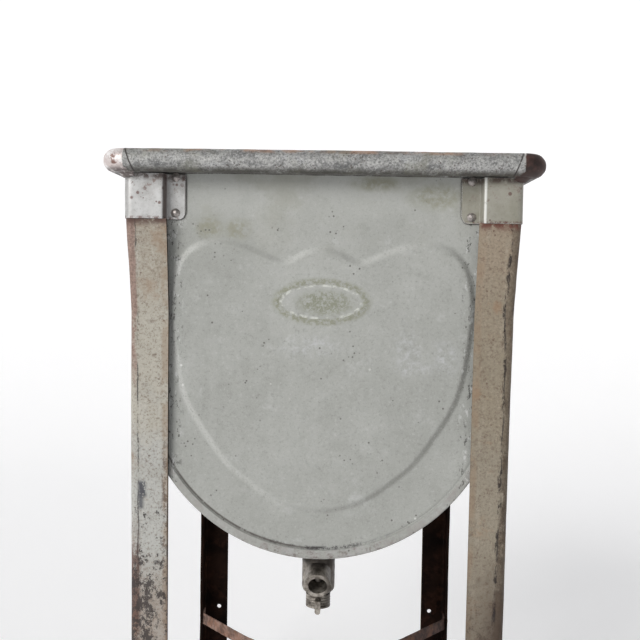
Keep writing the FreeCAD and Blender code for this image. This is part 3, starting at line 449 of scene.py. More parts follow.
def tank_sheet(name, front=False):
    """Dull grey sheet: mottled, streaked down, pitted, stained near the top and chipped at the bottom. It
    also carries painted light: a lighter band and painted shade under the rim, painted highlight and shade on
    the raised field's edges, and painted shade in the seam's groove and in crevices.
    """
    made = Finish(name)
    cloud = made.noise(6, 5, 0.6)
    mottle = made.noise(42, 5, 0.65)
    grain = made.noise(520, 3, 0.75)
    streak = made.noise(30, 3, 0.5, stretch=(1, 1, 0.05))
    made.colour = made.mix(cloud.step(0.32, 0.68), (0.37, 0.376, 0.352), (0.44, 0.446, 0.422))
    made.coat((0.3, 0.303, 0.278), mottle.step(0.48, 0.34) * 0.3)
    made.coat((0.51, 0.52, 0.5), mottle.step(0.54, 0.7) * 0.28)
    made.coat((0.51, 0.515, 0.49), streak.step(0.55, 0.75) * 0.22)
    made.coat((0.21, 0.21, 0.19), grain.step(0.44, 0.3) * 0.42)
    made.coat((0.6, 0.6, 0.58), grain.step(0.58, 0.7) * 0.3)
    fleck = made.noise(250, 5, 0.8, shift=(0.3, 0.7, 0.1))
    made.coat((0.22, 0.22, 0.2), fleck.step(0.46, 0.34) * 0.42)
    made.coat((0.58, 0.585, 0.57), fleck.step(0.56, 0.68) * 0.38)
    top = made.z.step(WALL_TOP - 0.12, WALL_TOP - 0.01)
    # painted light: a lighter band just under the rim, offsetting the shade the rim casts there
    made.coat((0.58, 0.59, 0.56), made.z.step(WALL_TOP - 0.06, WALL_TOP - 0.005) * 0.38)
    # olive stain near the top, darker towards the rim partly as painted shade under it
    top_stain_and_shade = made.cloudy(0.44, 0.64, 15, 5, 0.7, shift=(0.3, 0.1, 0.8)) * top * 0.4
    made.coat((0.300, 0.295, 0.235), top_stain_and_shade)
    made.coat((0.57, 0.58, 0.57), made.cloudy(0.58, 0.7, 27, 6, 0.75, shift=(0.9, 0.1, 0.2)) * 0.35)
    if front:
        for place in OLIVE_STAINS:
            olive = made.blob(*place, 0.7) * made.cloudy(0.3, 0.62, 90, 5, 0.7)
            made.coat((0.275, 0.27, 0.195), olive * 0.75)
        for place in PALE_BLOOMS:
            made.coat((0.60, 0.61, 0.63), made.blob(*place, 0.8) * made.cloudy(0.44, 0.62, 110, 6, 0.8) * 0.5)
        drips = (made.blob(0.0, 0.59, 0.085, 0.1, 0.5)
                 * made.cloudy(0.5, 0.74, 48, 3, 0.5, stretch=(1, 1, 0.035), shift=(0.31, 0, 0)) * 0.16)
        made.coat((0.52, 0.53, 0.51), drips)
        level = RIM_TOP - OVAL["drop"]
        badge = made.blob(0.0, level, 0.0600, 0.0290, 0.16)
        flecked = made.cloudy(0.36, 0.60, 260, 4, 0.8)
        band = badge * made.blob(0.0, level, 0.052, 0.0215, 0.2).step(0.9, 0.2)
        made.coat((0.255, 0.26, 0.185), band * flecked * 0.85)
        made.coat((0.215, 0.225, 0.15), made.blob(0.004, level - 0.001, 0.042, 0.019, 0.55) * flecked * 0.8)
        shine = (badge * made.blob(0.0, level, 0.05, 0.0205, 0.12).step(0.1, 0.5)
                 * made.blob(0.0, level, 0.0455, 0.018, 0.12).step(0.6, 0.1))
        made.coat((0.66, 0.67, 0.62), shine * made.cloudy(0.45, 0.6, 120, 4, 0.7) * 0.8)
    # painted highlight and painted shade on the raised field's edges, set by which way each faces the light
    made.coat((0.62, 0.625, 0.6), made.mark("field_highlight") * grain.step(0.3, 0.5) * 0.62)
    made.coat((0.185, 0.182, 0.165), made.mark("field_shade") * grain.step(0.75, 0.5) * 0.5)
    polar = made.node("CombineXYZ", {"X": made.x, "Z": made.z - BOWL_Z}).outputs[0]
    length = made.node("VectorMath", {0: polar}, operation="LENGTH").outputs["Value"]
    from_edge = Value(made, length)
    below = made.z.step(BOWL_Z + 0.02, BOWL_Z - 0.02)
    low = made.z.step(BOWL_Z - SEAM_R + 0.034, BOWL_Z - SEAM_R + 0.006)
    # near-black painted shade in the step and groove inside the seam band, along the bottom
    fold = from_edge.within(SEAM_R - 13.5 * MM, SEAM_R - 9.6 * MM, 1.2 * MM) * below
    made.coat((0.030, 0.028, 0.032), made.cloudy(0.48, 0.56, 150, 5, 0.8) * fold * low)
    # painted shade in the groove inside the seam band, on the left side
    left_line = (from_edge.within(SEAM_R - 12.4 * MM, SEAM_R - 10.2 * MM, 0.9 * MM) * below
                 * made.x.step(0.02, -0.04) * made.cloudy(0.3, 0.46, 120, 5, 0.8))
    made.coat((0.06, 0.046, 0.04), left_line * 0.8)
    seam = from_edge.step(SEAM_R - 9.8 * MM, SEAM_R - 8.6 * MM) * below
    made.coat((0.32, 0.295, 0.28), seam * made.cloudy(0.4, 0.62, 85, 5, 0.75) * 0.55)
    made.coat((0.46, 0.44, 0.445), seam * low * made.cloudy(0.5, 0.64, 60, 5, 0.75, shift=(0.5, 0, 0)) * 0.5)
    made.coat((0.17, 0.135, 0.12), seam * low * made.cloudy(0.5, 0.6, 110, 5, 0.75) * 0.7)
    side = abs(made.x).step(0.15, 0.166)
    made.coat((0.075, 0.072, 0.066), side * made.cloudy(0.57, 0.62, 230, 4, 0.8, stretch=(1, 1, 0.5)) * 0.9)
    glint = side * made.cloudy(0.57, 0.64, 110, 4, 0.8, stretch=(1, 1, 0.5), shift=(0.2, 0.2, 0)) * 0.6
    made.coat((0.68, 0.69, 0.68), glint)
    pits = made.spots(170, 0.24, 0.40)
    made.coat((0.085, 0.08, 0.07), pits * 0.8)
    made.coat(PALE_CHIP, made.spots(60, 0.11, 0.40, 4.0) * 0.8)
    # grime and painted shade in corners and folds
    made.coat(GRIME_AND_SHADE, made.crevice(3.5 * MM) * made.cloudy(0.2, 0.55, 55, 5, 0.7) * 0.85)
    made.coat((0.60, 0.60, 0.58), made.edge(1.4 * MM) * made.cloudy(0.4, 0.62, 90, 4, 0.7) * 0.45)
    rough = 0.46 + made.noise(60, 4) * 0.26
    heights = [(mottle, 0.22, 0.8 * MM), (grain, 0.22, 0.30 * MM), (pits, -0.35, 0.4 * MM)]
    return made.finish(rough, 0.08, heights)


def rim_sheet():
    """Weathered roll: dark and pale blotches, a rust line along the crown, dirt and painted shade under it.
    """
    made = Finish("rim_sheet")
    blotch = made.noise(85, 6, 0.78)
    long_blotch = made.noise(60, 5, 0.65, stretch=(0.3, 0.3, 1))
    grain = made.noise(420, 4, 0.75)
    made.colour = made.mix(blotch.step(0.36, 0.62), (0.23, 0.232, 0.228), (0.47, 0.468, 0.455))
    made.coat((0.125, 0.127, 0.13), long_blotch.step(0.47, 0.34) * 0.6)
    made.coat((0.52, 0.525, 0.54), long_blotch.step(0.56, 0.68) * 0.55)
    made.coat((0.1, 0.1, 0.098), grain.step(0.52, 0.36) * 0.7)
    made.coat((0.66, 0.655, 0.64), grain.step(0.53, 0.66) * 0.6)
    crown = made.z.within(RIM_TOP - 3.4 * MM, RIM_TOP + 2 * MM, 2.0 * MM)
    line = crown * made.cloudy(0.46, 0.6, 19, 5, 0.65, shift=(0, 0, 2))
    made.coat((0.47, 0.265, 0.165), line * 0.75)
    made.coat((0.17, 0.135, 0.115), crown * made.cloudy(0.5, 0.62, 32, 5, 0.65, shift=(0.7, 0, 2)) * 0.65)
    # dirt and painted shade on the underside of the roll
    under = made.z.step(RIM_Z - 5 * MM, RIM_Z - ROLL_R)
    made.coat((0.06, 0.055, 0.045), under * made.cloudy(0.15, 0.55, 70, 5, 0.7) * 0.9)
    made.coat((0.235, 0.235, 0.175), made.cloudy(0.54, 0.66, 14, 4, 0.6, shift=(1.7, 0, 0)) * 0.5)
    joint = made.past_cap().within(0.2 * MM, 1.9 * MM, 0.5 * MM) * made.cloudy(0.26, 0.42, 150, 5, 0.8)
    made.coat((0.03, 0.022, 0.02), joint * abs(made.y).step(END_Y, END_Y + 5 * MM) * 0.9)
    made.coat((0.09, 0.065, 0.055), made.spots(240, 0.30, 0.5, 2.0) * 0.7)
    rough = 0.38 + blotch * 0.3
    return made.finish(rough, 0.22, [(blotch, 0.35, 0.9 * MM), (grain, 0.35, 0.35 * MM)])


def cap_metal(name, rusted):
    """Cast cap: plated and scuffed, or gone to dark rust; painted shade in its corners and, with rust,
    underneath, and on the fully rusted cap a painted highlight along its sleeve's edge.
    """
    made = Finish(name)
    cloud = made.noise(85, 5, 0.65)
    fine = made.noise(420, 4, 0.7)
    plated = made.mix(cloud.step(0.38, 0.6), (0.66, 0.58, 0.56), (0.97, 0.94, 0.93))
    gone, stained = (0.20, 0.11, 0.09), (0.42, 0.29, 0.25)
    if rusted > 0.5:
        gone, stained = (0.022, 0.012, 0.010), (0.085, 0.040, 0.032)
    rust = made.mix(cloud.step(0.35, 0.7), gone, stained)
    patches = made.cloudy(0.66 - 0.42 * rusted, 0.72 - 0.36 * rusted, 60, 5, 0.7, shift=(0.5, 0.9, 0.1))
    made.colour = made.mix(patches, plated, rust)
    made.coat(DARK_RUST, fine.step(0.45, 0.3) * 0.4)
    # grime and painted shade in the cap's corners
    made.coat(GRIME_AND_SHADE, made.crevice(7 * MM) * 0.8)
    made.coat((0.60, 0.55, 0.50), made.edge(1.2 * MM) * made.cloudy(0.4, 0.6, 150, 4) * 0.6)
    if rusted == 1.0:
        # painted highlight along the edge of the sleeve's end
        sleeve_edge_highlight = made.past_cap().within(-2.2 * MM, -0.4 * MM, 0.4 * MM) * fine.step(0.3, 0.46)
        made.coat((0.8, 0.77, 0.72), sleeve_edge_highlight * 0.85)
    # rust and painted shade on the cap's underside, below the roll
    below = made.z.step(RIM_Z - 6 * MM, RIM_Z - 12 * MM) * made.cloudy(0.32, 0.5, 140, 5, 0.75)
    made.coat((0.05, 0.026, 0.021), below * 0.88)
    metal = 0.3 - patches * 0.25
    rough = 0.42 + patches * 0.2
    return made.finish(rough, metal, [(cloud, 0.35, 0.8 * MM), (fine, 0.3, 0.3 * MM)])


def socket_sheet(name, bright):
    """Pressed socket: silvery or greenish grey, rust freckles, a rusty top darkened further by painted shade
    under the rim, red rust at its open bottom, painted light on its fold and dirt with painted shadow along
    its flange's rim.
    """
    made = Finish(name)
    low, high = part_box("leg_socket_front_left")
    cloud = made.noise(48, 5, 0.65)
    fine = made.noise(420, 3, 0.75)
    pale = (0.60, 0.60, 0.595) if bright else (0.37, 0.355, 0.305)
    deep = (0.44, 0.435, 0.425) if bright else (0.300, 0.290, 0.235)
    made.colour = made.mix(cloud.step(0.33, 0.66), deep, pale)
    made.coat((0.2, 0.19, 0.17), fine.step(0.44, 0.3) * 0.45)
    freckles = made.math("MAXIMUM", made.spots(95, 0.26, 0.42, 1.0), made.spots(230, 0.30, 0.42, 2.0))
    made.coat((0.145, 0.08, 0.068), freckles * 0.85)
    scale = made.cloudy(0.56, 0.62, 130, 6, 0.8) * made.z.step(high.z - 34 * MM, high.z - 6 * MM)
    made.coat((0.22, 0.145, 0.125), scale * 0.75)
    # rust and painted shade along the top, under the rim
    upper = made.z.step(high.z - 9 * MM, high.z - 3 * MM) * made.cloudy(0.36, 0.56, 120, 5, 0.7)
    made.coat((0.075, 0.045, 0.035), upper * 0.85)
    lower = made.z.step(low.z + 3.6 * MM, low.z + 0.8 * MM) * made.cloudy(0.44, 0.58, 170, 5, 0.7)
    made.coat((0.12, 0.042, 0.03), lower * 0.85)
    # painted light on the fold: painted shade on the bright socket, painted highlight on the greenish one,
    # broken by chips
    fold = abs(made.x).within(*SOCKET_FOLD["bright" if bright else "greenish"], 0.8 * MM)
    fold_light_and_shade = fold * made.cloudy(0.3, 0.44, 110, 5, 0.75) * 0.85
    made.coat((0.085, 0.050, 0.043) if bright else (0.84, 0.84, 0.80), fold_light_and_shade)
    # dirt and painted shadow along the flange's free rim
    made.coat((0.055, 0.045, 0.040), abs(made.x).within(*FLANGE_RIM, 0.5 * MM) * (0.85 if bright else 0.25))
    # grime and painted shade in corners
    made.coat(GRIME_AND_SHADE, made.crevice(2.5 * MM) * fine.step(0.2, 0.6) * 0.7)
    made.coat((0.80, 0.80, 0.79), made.edge(1.8 * MM) * made.cloudy(0.35, 0.6, 80, 4) * 0.7)
    made.coat((0.045, 0.032, 0.027), made.mark("lip") * 0.9)
    return made.finish(0.42, 0.30 if bright else 0.10, [
        (cloud, 0.2, 1 * MM), (fine, 0.2, 0.3 * MM), (freckles, -0.2, 0.3 * MM)])


def leg_paint(name, left):
    """Old leg paint over rust: speckled, worn to rust along the bend, flaking towards the floor; with painted
    shade on the hollow side, along the left legs' inner edge, along the right legs' bend and in crevices.
    """
    made = Finish(name)
    cloud = made.noise(20, 5, 0.65)
    fine = made.noise(340, 4, 0.75)
    drag = made.noise(110, 4, 0.6, stretch=(1, 1, 0.10))
    lean = made.z.step(0.3, 0.7) * (3.4 * MM) + made.z.step(0.7, 0.81) * (5 * MM)
    side_gap = lean + LEG_X - abs(made.x)
    end_gap = lean + LEG_Y - abs(made.y)
    from_bend = side_gap + end_gap
    wander = (made.noise(30, 5, 0.7, stretch=(1, 1, 0.5)) - 0.5) * (11 * MM)
    bend = from_bend + wander
    if left:
        upper, middle, lower = (0.370, 0.330, 0.270), (0.455, 0.430, 0.370), (0.465, 0.465, 0.440)
    else:
        upper, middle, lower = (0.320, 0.262, 0.195), (0.285, 0.243, 0.180), (0.290, 0.255, 0.198)
    height = made.z + (cloud - 0.5) * 0.25
    made.colour = made.mix(height.step(0.52, 0.62), lower, middle)
    made.coat(upper, height.step(0.66, 0.8))
    made.coat(tuple(c * 0.72 for c in middle), cloud.step(0.5, 0.34) * 0.35)
    made.coat((0.54, 0.53, 0.49) if left else (0.4, 0.36, 0.29), drag.step(0.54, 0.72) * 0.35)
    made.coat((0.17, 0.125, 0.09), fine.step(0.5, 0.36) * 0.55)
    made.coat((0.6, 0.57, 0.5) if left else (0.47, 0.41, 0.33), fine.step(0.54, 0.68) * 0.4)
    grit = made.cloudy(0.55 if left else 0.53, 0.64, 165, 6, 0.82, shift=(0.4, 0.1, 0.6))
    made.coat((0.135, 0.085, 0.062), grit * 0.55)
    specks = made.spots(210, 0.30, 0.40, 3.0)
    made.coat((0.115, 0.062, 0.045), specks * 0.7)
    bloom = made.cloudy(0.56, 0.7, 26, 5, 0.7, shift=(0.2, 0.6, 0.1)) * (0.4 if left else 0.55)
    made.coat((0.30, 0.19, 0.115), bloom)
    # rust along the bend; on the right legs its near-black tone is also painted shade
    rust = made.mix(fine.step(0.35, 0.65), (0.185, 0.12, 0.095) if left else (0.045, 0.03, 0.021),
                    (0.345, 0.235, 0.2) if left else (0.11, 0.076, 0.05))
    strip = bend.step(10.5 * MM, 8 * MM) if left else bend.step(13 * MM, 7.5 * MM)
    patchy = made.cloudy(0.46, 0.60, 16, 5, 0.7, stretch=(1, 1, 0.4), shift=(0.1, 0.9, 0.3))
    scuffed = made.cloudy(0.30, 0.46, 75, 6, 0.8, stretch=(1, 1, 0.6))
    spread = made.math("MAXIMUM", patchy, made.z.step(0.6, 0.7)) if left else 0.55 + patchy * 0.45
    bend_wear_and_shade = strip * scuffed * spread
    made.coat(rust, bend_wear_and_shade * 0.88)
    crack = (bend.within(9.6 * MM, 11.0 * MM, 0.7 * MM)
             * made.cloudy(0.44, 0.54, 60, 5, 0.8, stretch=(1, 1, 0.35)))
    made.coat((0.032, 0.026, 0.026), crack * 0.88)
    free = from_bend.step(LEG_FLANGE - 7 * MM, LEG_FLANGE - 2.5 * MM)
    dots = free * made.cloudy(0.5, 0.58, 150, 5, 0.8, stretch=(1, 1, 0.7)) * made.z.step(0.6, 0.5)
    made.coat((0.05, 0.034, 0.032), dots * (0.9 if left else 0.35))
    # painted shadow along the leg's inner free edge, where it stands off the sheet
    edge_gap_shadow = from_bend.step(LEG_FLANGE - 2.6 * MM + lean * 1.5, LEG_FLANGE - 1.0 * MM + lean * 1.5)
    made.coat((0.06, 0.042, 0.034), edge_gap_shadow * fine.step(0.2, 0.45) * (0.85 if left else 0.15))
    made.coat((0.3, 0.21, 0.14), free * made.cloudy(0.4, 0.6, 24, 4, 0.7) * 0.5)
    if left:
        for up, across, tall, wide, share in ((0.499, 15 * MM, 0.009, 4.5 * MM, 0.92),
                                              (0.484, 13 * MM, 0.008, 3 * MM, 0.8)):
            near = (made.z.within(up - tall, up + tall, 0.003)
                    * from_bend.within(across - wide, across + wide, 2.5 * MM))
            blotch = near * made.cloudy(0.42, 0.5, 150, 6, 0.8, shift=(0.3, 0.1, 0.5))
            made.coat((0.06, 0.062, 0.078), blotch * share)
        low = made.z.step(0.48, 0.345)
        reach = from_bend.step(36 * MM, 12 * MM)
        flaking = (made.noise(120, 6, 0.82, stretch=(1, 1, 0.7), shift=(0.2, 0.4, 0.9))
                   + low * (0.065 + reach * 0.085))
        gone = flaking.step(0.585, 0.625) * made.z.step(0.52, 0.47)
        made.coat((0.270, 0.195, 0.145), made.z.step(0.44, 0.36) * 0.5)
        outer = (from_bend.step(15 * MM, 8 * MM) * made.z.step(0.47, 0.42)
                 * made.cloudy(0.38, 0.52, 50, 5, 0.8))
        made.coat((0.115, 0.06, 0.045), outer * 0.85)
        made.coat((0.042, 0.034, 0.033), gone * 0.9)
    else:
        low = made.z.step(0.46, 0.33)
        outer = from_bend.step(38 * MM, 6 * MM)
        # darker towards the bottom, and painted shade towards the bend
        made.coat((0.07, 0.047, 0.033), low * (0.42 + outer * 0.48))
        marks = (bend.within(9 * MM, 13 * MM, 1.2 * MM)
                 * made.cloudy(0.5, 0.56, 110, 6, 0.8, stretch=(1, 1, 0.4)))
        made.coat((0.022, 0.016, 0.015), marks * 0.9)
        made.coat((0.060, 0.038, 0.027), made.cloudy(0.52, 0.6, 85, 6, 0.8) * low * 0.7)
    collar = made.z.step(0.794, 0.803) * made.cloudy(0.34, 0.56, 110, 5, 0.7)
    made.coat((0.095, 0.05, 0.04) if left else (0.125, 0.036, 0.026), collar * 0.9)
    # grime and painted shade in corners
    made.coat(GRIME_AND_SHADE, made.crevice(3.5 * MM) * 0.5)
    # bare rust and painted shade on the hollow side of the angle and the left legs' inner edge
    bare_and_shaded = made.mix(cloud.step(0.35, 0.7), (0.004, 0.0022, 0.0017), (0.016, 0.0075, 0.005))
    bare_and_shaded = made.mix(made.cloudy(0.5, 0.66, 60, 5, 0.7) * 0.5, bare_and_shaded, (0.034, 0.014, 0.0085))
    made.coat(bare_and_shaded, made.mark("inside"))
    rough = 0.5 + cloud * 0.22
    heights = [(cloud, 0.25, 1.2 * MM), (fine, 0.40, 0.35 * MM), (specks, -0.3, 0.4 * MM)]
    shine = 0.35 - made.mark("inside") * 0.31
    return made.finish(rough, 0.0, heights, specular=shine)


def strip_rust(name, pale):
    """Rusted strip: scale, orange bloom and pale worn patches."""
    made = Finish(name)
    cloud = made.noise(70, 6, 0.7)
    fine = made.noise(380, 4, 0.7)
    made.colour = made.mix(cloud.step(0.38, 0.62), tuple(c * 0.28 for c in pale), pale)
    bloom = made.cloudy(0.48, 0.66, 24, 4, 0.6, shift=(0.4, 0.2, 0)) * 0.7
    made.coat((0.21, 0.085, 0.038), bloom)
    made.coat((0.03, 0.018, 0.014), fine.step(0.46, 0.3) * 0.6)
    made.coat((0.32, 0.24, 0.20), made.edge(0.9 * MM) * made.cloudy(0.45, 0.6, 140, 4) * 0.5)
    return made.finish(0.78, 0.05, [(cloud, 0.4, 0.8 * MM), (fine, 0.5, 0.35 * MM)])


def tarnished_brass():
    """Cast brass gone pewter-grey, with painted shade in its corners and mouth, on its top and on its right
    side, and rubbed on its edges.
    """
    made = Finish("tarnished_brass")
    cloud = made.noise(120, 5, 0.62)
    fine = made.noise(700, 3, 0.7)
    made.colour = made.mix(cloud.step(0.35, 0.65), (0.15, 0.13, 0.11), (0.48, 0.44, 0.39))
    made.coat((0.11, 0.09, 0.07), fine.step(0.45, 0.3) * 0.3)
    # painted shade in corners and inside the mouth
    made.coat((0.012, 0.009, 0.008), made.crevice(9 * MM) * 0.95)
    # painted shadow on the top, under the tank
    made.coat((0.022, 0.018, 0.015), made.z.step(0.388, 0.404) * cloud.step(0.15, 0.45) * 0.9)
    # painted shade on the right side, away from the light
    made.coat((0.03, 0.024, 0.02), made.x.step(3 * MM, 14 * MM) * cloud.step(0.2, 0.45) * 0.75)
    made.coat((0.66, 0.62, 0.54), made.edge(0.9 * MM) * made.cloudy(0.35, 0.6, 200, 4) * 0.75)
    rough = 0.3 + cloud * 0.25
    return made.finish(rough, 0.75, [(cloud, 0.25, 0.6 * MM), (fine, 0.2, 0.2 * MM)])


def dull_steel(name, pale):
    made = Finish(name)
    cloud = made.noise(240, 5, 0.65)
    made.colour = made.mix(cloud.step(0.35, 0.65), tuple(c * 0.6 for c in pale), pale)
    made.coat((0.1, 0.065, 0.05), made.cloudy(0.45, 0.3, 500, 4, 0.7) * 0.5)
    # grime and painted shade in corners
    made.coat(GRIME_AND_SHADE, made.crevice(3 * MM) * 0.8)
    return made.finish(0.36, 0.65, [(cloud, 0.3, 0.4 * MM)])


def perished_rubber():
    made = Finish("perished_rubber")
    cloud = made.noise(160, 5, 0.7)
    made.colour = made.mix(cloud.step(0.3, 0.7), (0.012, 0.012, 0.012), (0.045, 0.041, 0.037))
    cracks = made.cells(420).step(0.12, 0.02)
    return made.finish(0.72, 0.0, [(cloud, 0.4, 0.5 * MM), (cracks, -0.3, 0.2 * MM)])


OVAL = {"half_width": 55 * MM, "half_height": 26 * MM, "drop": 165.5 * MM}
SHEET_PAINT = tank_sheet("tank_sheet")
FRONT_PAINT = tank_sheet("front_sheet", True)
RIM_PAINT = rim_sheet()
CAP_FINISH = {
    "front_left": cap_metal("cap_plated", 0.15),
    "front_right": cap_metal("cap_rusted", 1.0),
    "rear_left": cap_metal("cap_part_rusted", 0.55),
}
CAP_FINISH["rear_right"] = CAP_FINISH["front_left"]
SOCKET_FINISH = {"left": socket_sheet("socket_bright", True), "right": socket_sheet("socket_greenish", False)}
LEG_FINISH = {"left": leg_paint("leg_tan_grey", True), "right": leg_paint("leg_brown", False)}
BRASS = tarnished_brass()
RIVET_STEEL = dull_steel("rivet_steel", (0.46, 0.42, 0.40))
PIPE_STEEL = dull_steel("pipe_steel", (0.30, 0.27, 0.25))
RUBBER = perished_rubber()
# lit and shaded copies of one rust: the darker one is painted shade for the brace facing away from the light
STRIP_RUST_LIT = strip_rust("strip_rust_lit", (0.300, 0.190, 0.150))
STRIP_RUST_SHADED = strip_rust("strip_rust_shaded", (0.105, 0.055, 0.042))


# ---- end panels

FIELD_HALF = [
    (0, 103), (18, 106), (42, 117), (66, 109), (94, 99), (123, 96), (147, 103), (165, 124), (173, 156),
    (173, 186), (169, 223), (162, 260), (152, 287), (134, 317), (110, 350), (85, 372), (60, 390), (32, 402),
]
FIELD_FOOT = (0, 407)
FIELD_STEP = 7 * MM
FIELD_RISE = 2.6 * MM


def smooth_loop(corners, per_span=12):
    """A closed smooth curve through corners, each span bent by its neighbours."""
    points = np.array(corners, float)
    before, after, beyond = np.roll(points, 1, 0), np.roll(points, -1, 0), np.roll(points, -2, 0)
    spans = []
    for share in np.arange(per_span) / per_span:
        spans.append(0.5 * (2 * points + (after - before) * share
                            + (2 * before - 5 * points + 4 * after - beyond) * share**2
                            + (3 * points - before - 3 * after + beyond) * share**3))
    return np.stack(spans, axis=1).reshape(-1, 2)


def signed_distance(x, z, loop):
    """Distance to a closed outline, positive inside."""
    start, end = loop, np.roll(loop, -1, 0)
    best = np.full(x.shape, 1e9)
    crossings = np.zeros(x.shape, int)
    for (ax, az), (bx, bz) in zip(start, end):
        dx, dz = bx - ax, bz - az
        share = np.clip(((x - ax) * dx + (z - az) * dz) / (dx * dx + dz * dz), 0, 1)
        best = np.minimum(best, (x - ax - share * dx) ** 2 + (z - az - share * dz) ** 2)
        spans = (az > z) != (bz > z)
        if dz:
            crossings += spans & (x < ax + (z - az) / dz * dx)
    inside = crossings % 2 == 1
    return np.where(inside, 1, -1) * np.sqrt(best)


def field_outline():
    half = FIELD_HALF + [FIELD_FOOT]
    loop = half + [(-across, drop) for across, drop in reversed(FIELD_HALF[1:])]
    return smooth_loop([(across * MM, RIM_TOP - drop * MM) for across, drop in loop])


def mark_field_light(panel):
    """Writes painted highlight where the raised field's edge faces left and up towards the light, and painted
    shade where it faces right and down.
    """
    points = points_of(panel)
    x, z, loop, nudge = points[:, 0], points[:, 2], field_outline(), 0.5 * MM
    inset = signed_distance(x, z, loop)
    facing = (inset - signed_distance(x + nudge, z, loop)) / nudge
    rising = (inset - signed_distance(x, z + nudge, loop)) / nudge
    lit = 0.2 * rising - facing
    band = smoothstep(inset, -1.5 * MM, 1.5 * MM) * (1 - smoothstep(inset, 4.5 * MM, 8.5 * MM))
    for name, share in (("field_highlight", np.clip(lit, 0, 1)), ("field_shade", np.clip(-lit, 0, 1))):
        panel.data.attributes.new(name, "FLOAT", "POINT").data.foreach_set("value", band * share)
    return panel


def oval_inset(x, z):
    """Distance inside the pointed oval's edge, negative outside."""
    width, rise = OVAL["half_width"], OVAL["half_height"]
    radius = (width**2 + rise**2) / (2 * rise)
    level = RIM_TOP - OVAL["drop"]
    upper = radius - np.hypot(x, z - (level + rise - radius))
    lower = radius - np.hypot(x, z - (level - rise + radius))
    return np.minimum(upper, lower)


def tank_section(radius, rows, around):
    """The U from its left top round to its right top: side (-1 to 1), how far it leans down, and height."""
    straight = np.linspace(WALL_TOP, BOWL_Z, rows)
    bow = np.radians(np.linspace(180, 360, around))[1:-1]
    ones = np.ones(rows)
    side = np.concatenate([-ones, np.cos(bow), ones])
    lean = np.concatenate([0 * ones, np.sin(bow), 0 * ones])
    return side, lean, np.concatenate([straight, BOWL_Z + radius * np.sin(bow), straight[::-1]])


def end_panel(name, side, seed):
    """The whole end sheet: raised field, oval bead, folded seam round the U and its skirt."""
    path_x, lean, path_z = tank_section(SEAM_R, 92, 262)

    def place(depth):
        return path_x[:, None] * (SEAM_R - depth)[None, :], path_z[:, None] - lean[:, None] * depth[None, :]

    middle = np.linspace(SEAM_R, 13 * MM, 110)
    edge = np.array([12.2, 11.6, 11, 10.5, 10, 9.6, 9.2, 8.8, 8.2, 7, 5.4, 3.8, 2.4, 1.6]) * MM
    depth = np.concatenate([middle, edge])
    x, z = place(depth)
    band = 2 * MM * (1 - smoothstep(depth, 8.6 * MM, 10.2 * MM))[None, :]
    groove = 0.45 * MM * np.exp(-((depth - 11.2 * MM) / (0.9 * MM)) ** 2)[None, :]
    field = FIELD_RISE * smoothstep(signed_distance(x, z, field_outline()), 0, FIELD_STEP)
    ridge = 0.95 * MM * np.exp(-((oval_inset(x, z) - 2.2 * MM) / (1.5 * MM)) ** 2)
    flat = np.stack([x, np.zeros_like(x), z], axis=-1)
    fade = smoothstep(depth, 9 * MM, 40 * MM)[None, :]
    swell = dents(flat, seed, (0.30, 1.3, 0.55), (0.055, 1, 0.10))
    out = END_Y + band - groove + field + ridge + swell * fade
    bend = np.radians(np.linspace(12, 90, 6))
    bend_r = 1.5 * MM
    skirt = np.linspace(SEAM_Y - bend_r - 1 * MM, SEAM_Y - 12 * MM, 5)
    tail_x, tail_z = place(np.concatenate([bend_r * (1 - np.sin(bend)), 0 * skirt]))
    tail_out = np.concatenate([SEAM_Y - bend_r * (1 - np.cos(bend)), skirt])
    crimp = ripple(np.stack([tail_x, 0 * tail_x, tail_z], axis=-1), 0.035, seed + 2) * 0.12 * MM - 0.15 * MM
    grid_x, grid_z = np.concatenate([x, tail_x], axis=1), np.concatenate([z, tail_z], axis=1)
    grid_y = np.concatenate([out, tail_out + crimp], axis=1)
    turned = np.clip((SEAM_Y - grid_y) / bend_r, 0, 1)
    turned[:, :len(depth)] = 0
    inset = turned * SHEET
    grid = np.stack([grid_x, grid_y * side, grid_z], axis=-1)
    inner = np.stack([grid_x - path_x[:, None] * inset, (grid_y - (1 - turned) * SHEET) * side,
                      grid_z + lean[:, None] * inset], axis=-1)
    return mark_field_light(sheet_piece(name, grid, SHEET, flip=side < 0, inner=inner, open_start=True))


def roll_path():
    """Section of a rolled edge as (outward, up) from the wall's outer face: flare, then curl."""
    axis = np.array([ROLL_X - SHELL_R, RIM_Z])
    foot = np.array([-SHEET, WALL_TOP - 1.5 * MM])
    reach = axis - foot
    length = np.hypot(*reach)
    lean = math.atan2(reach[1], reach[0]) + math.asin(ROLL_R / length)
    touch = foot + np.array([math.cos(lean), math.sin(lean)]) * math.sqrt(length**2 - ROLL_R**2)
    flare = foot + np.linspace(0, 1, 8)[:, None] * (touch - foot)
    start = math.atan2(touch[1] - axis[1], touch[0] - axis[0])
    turn = np.linspace(start, start - math.radians(318), 54)[1:]
    curl = axis + ROLL_R * np.stack([np.cos(turn), np.sin(turn)], axis=-1)
    return np.concatenate([flare, curl])


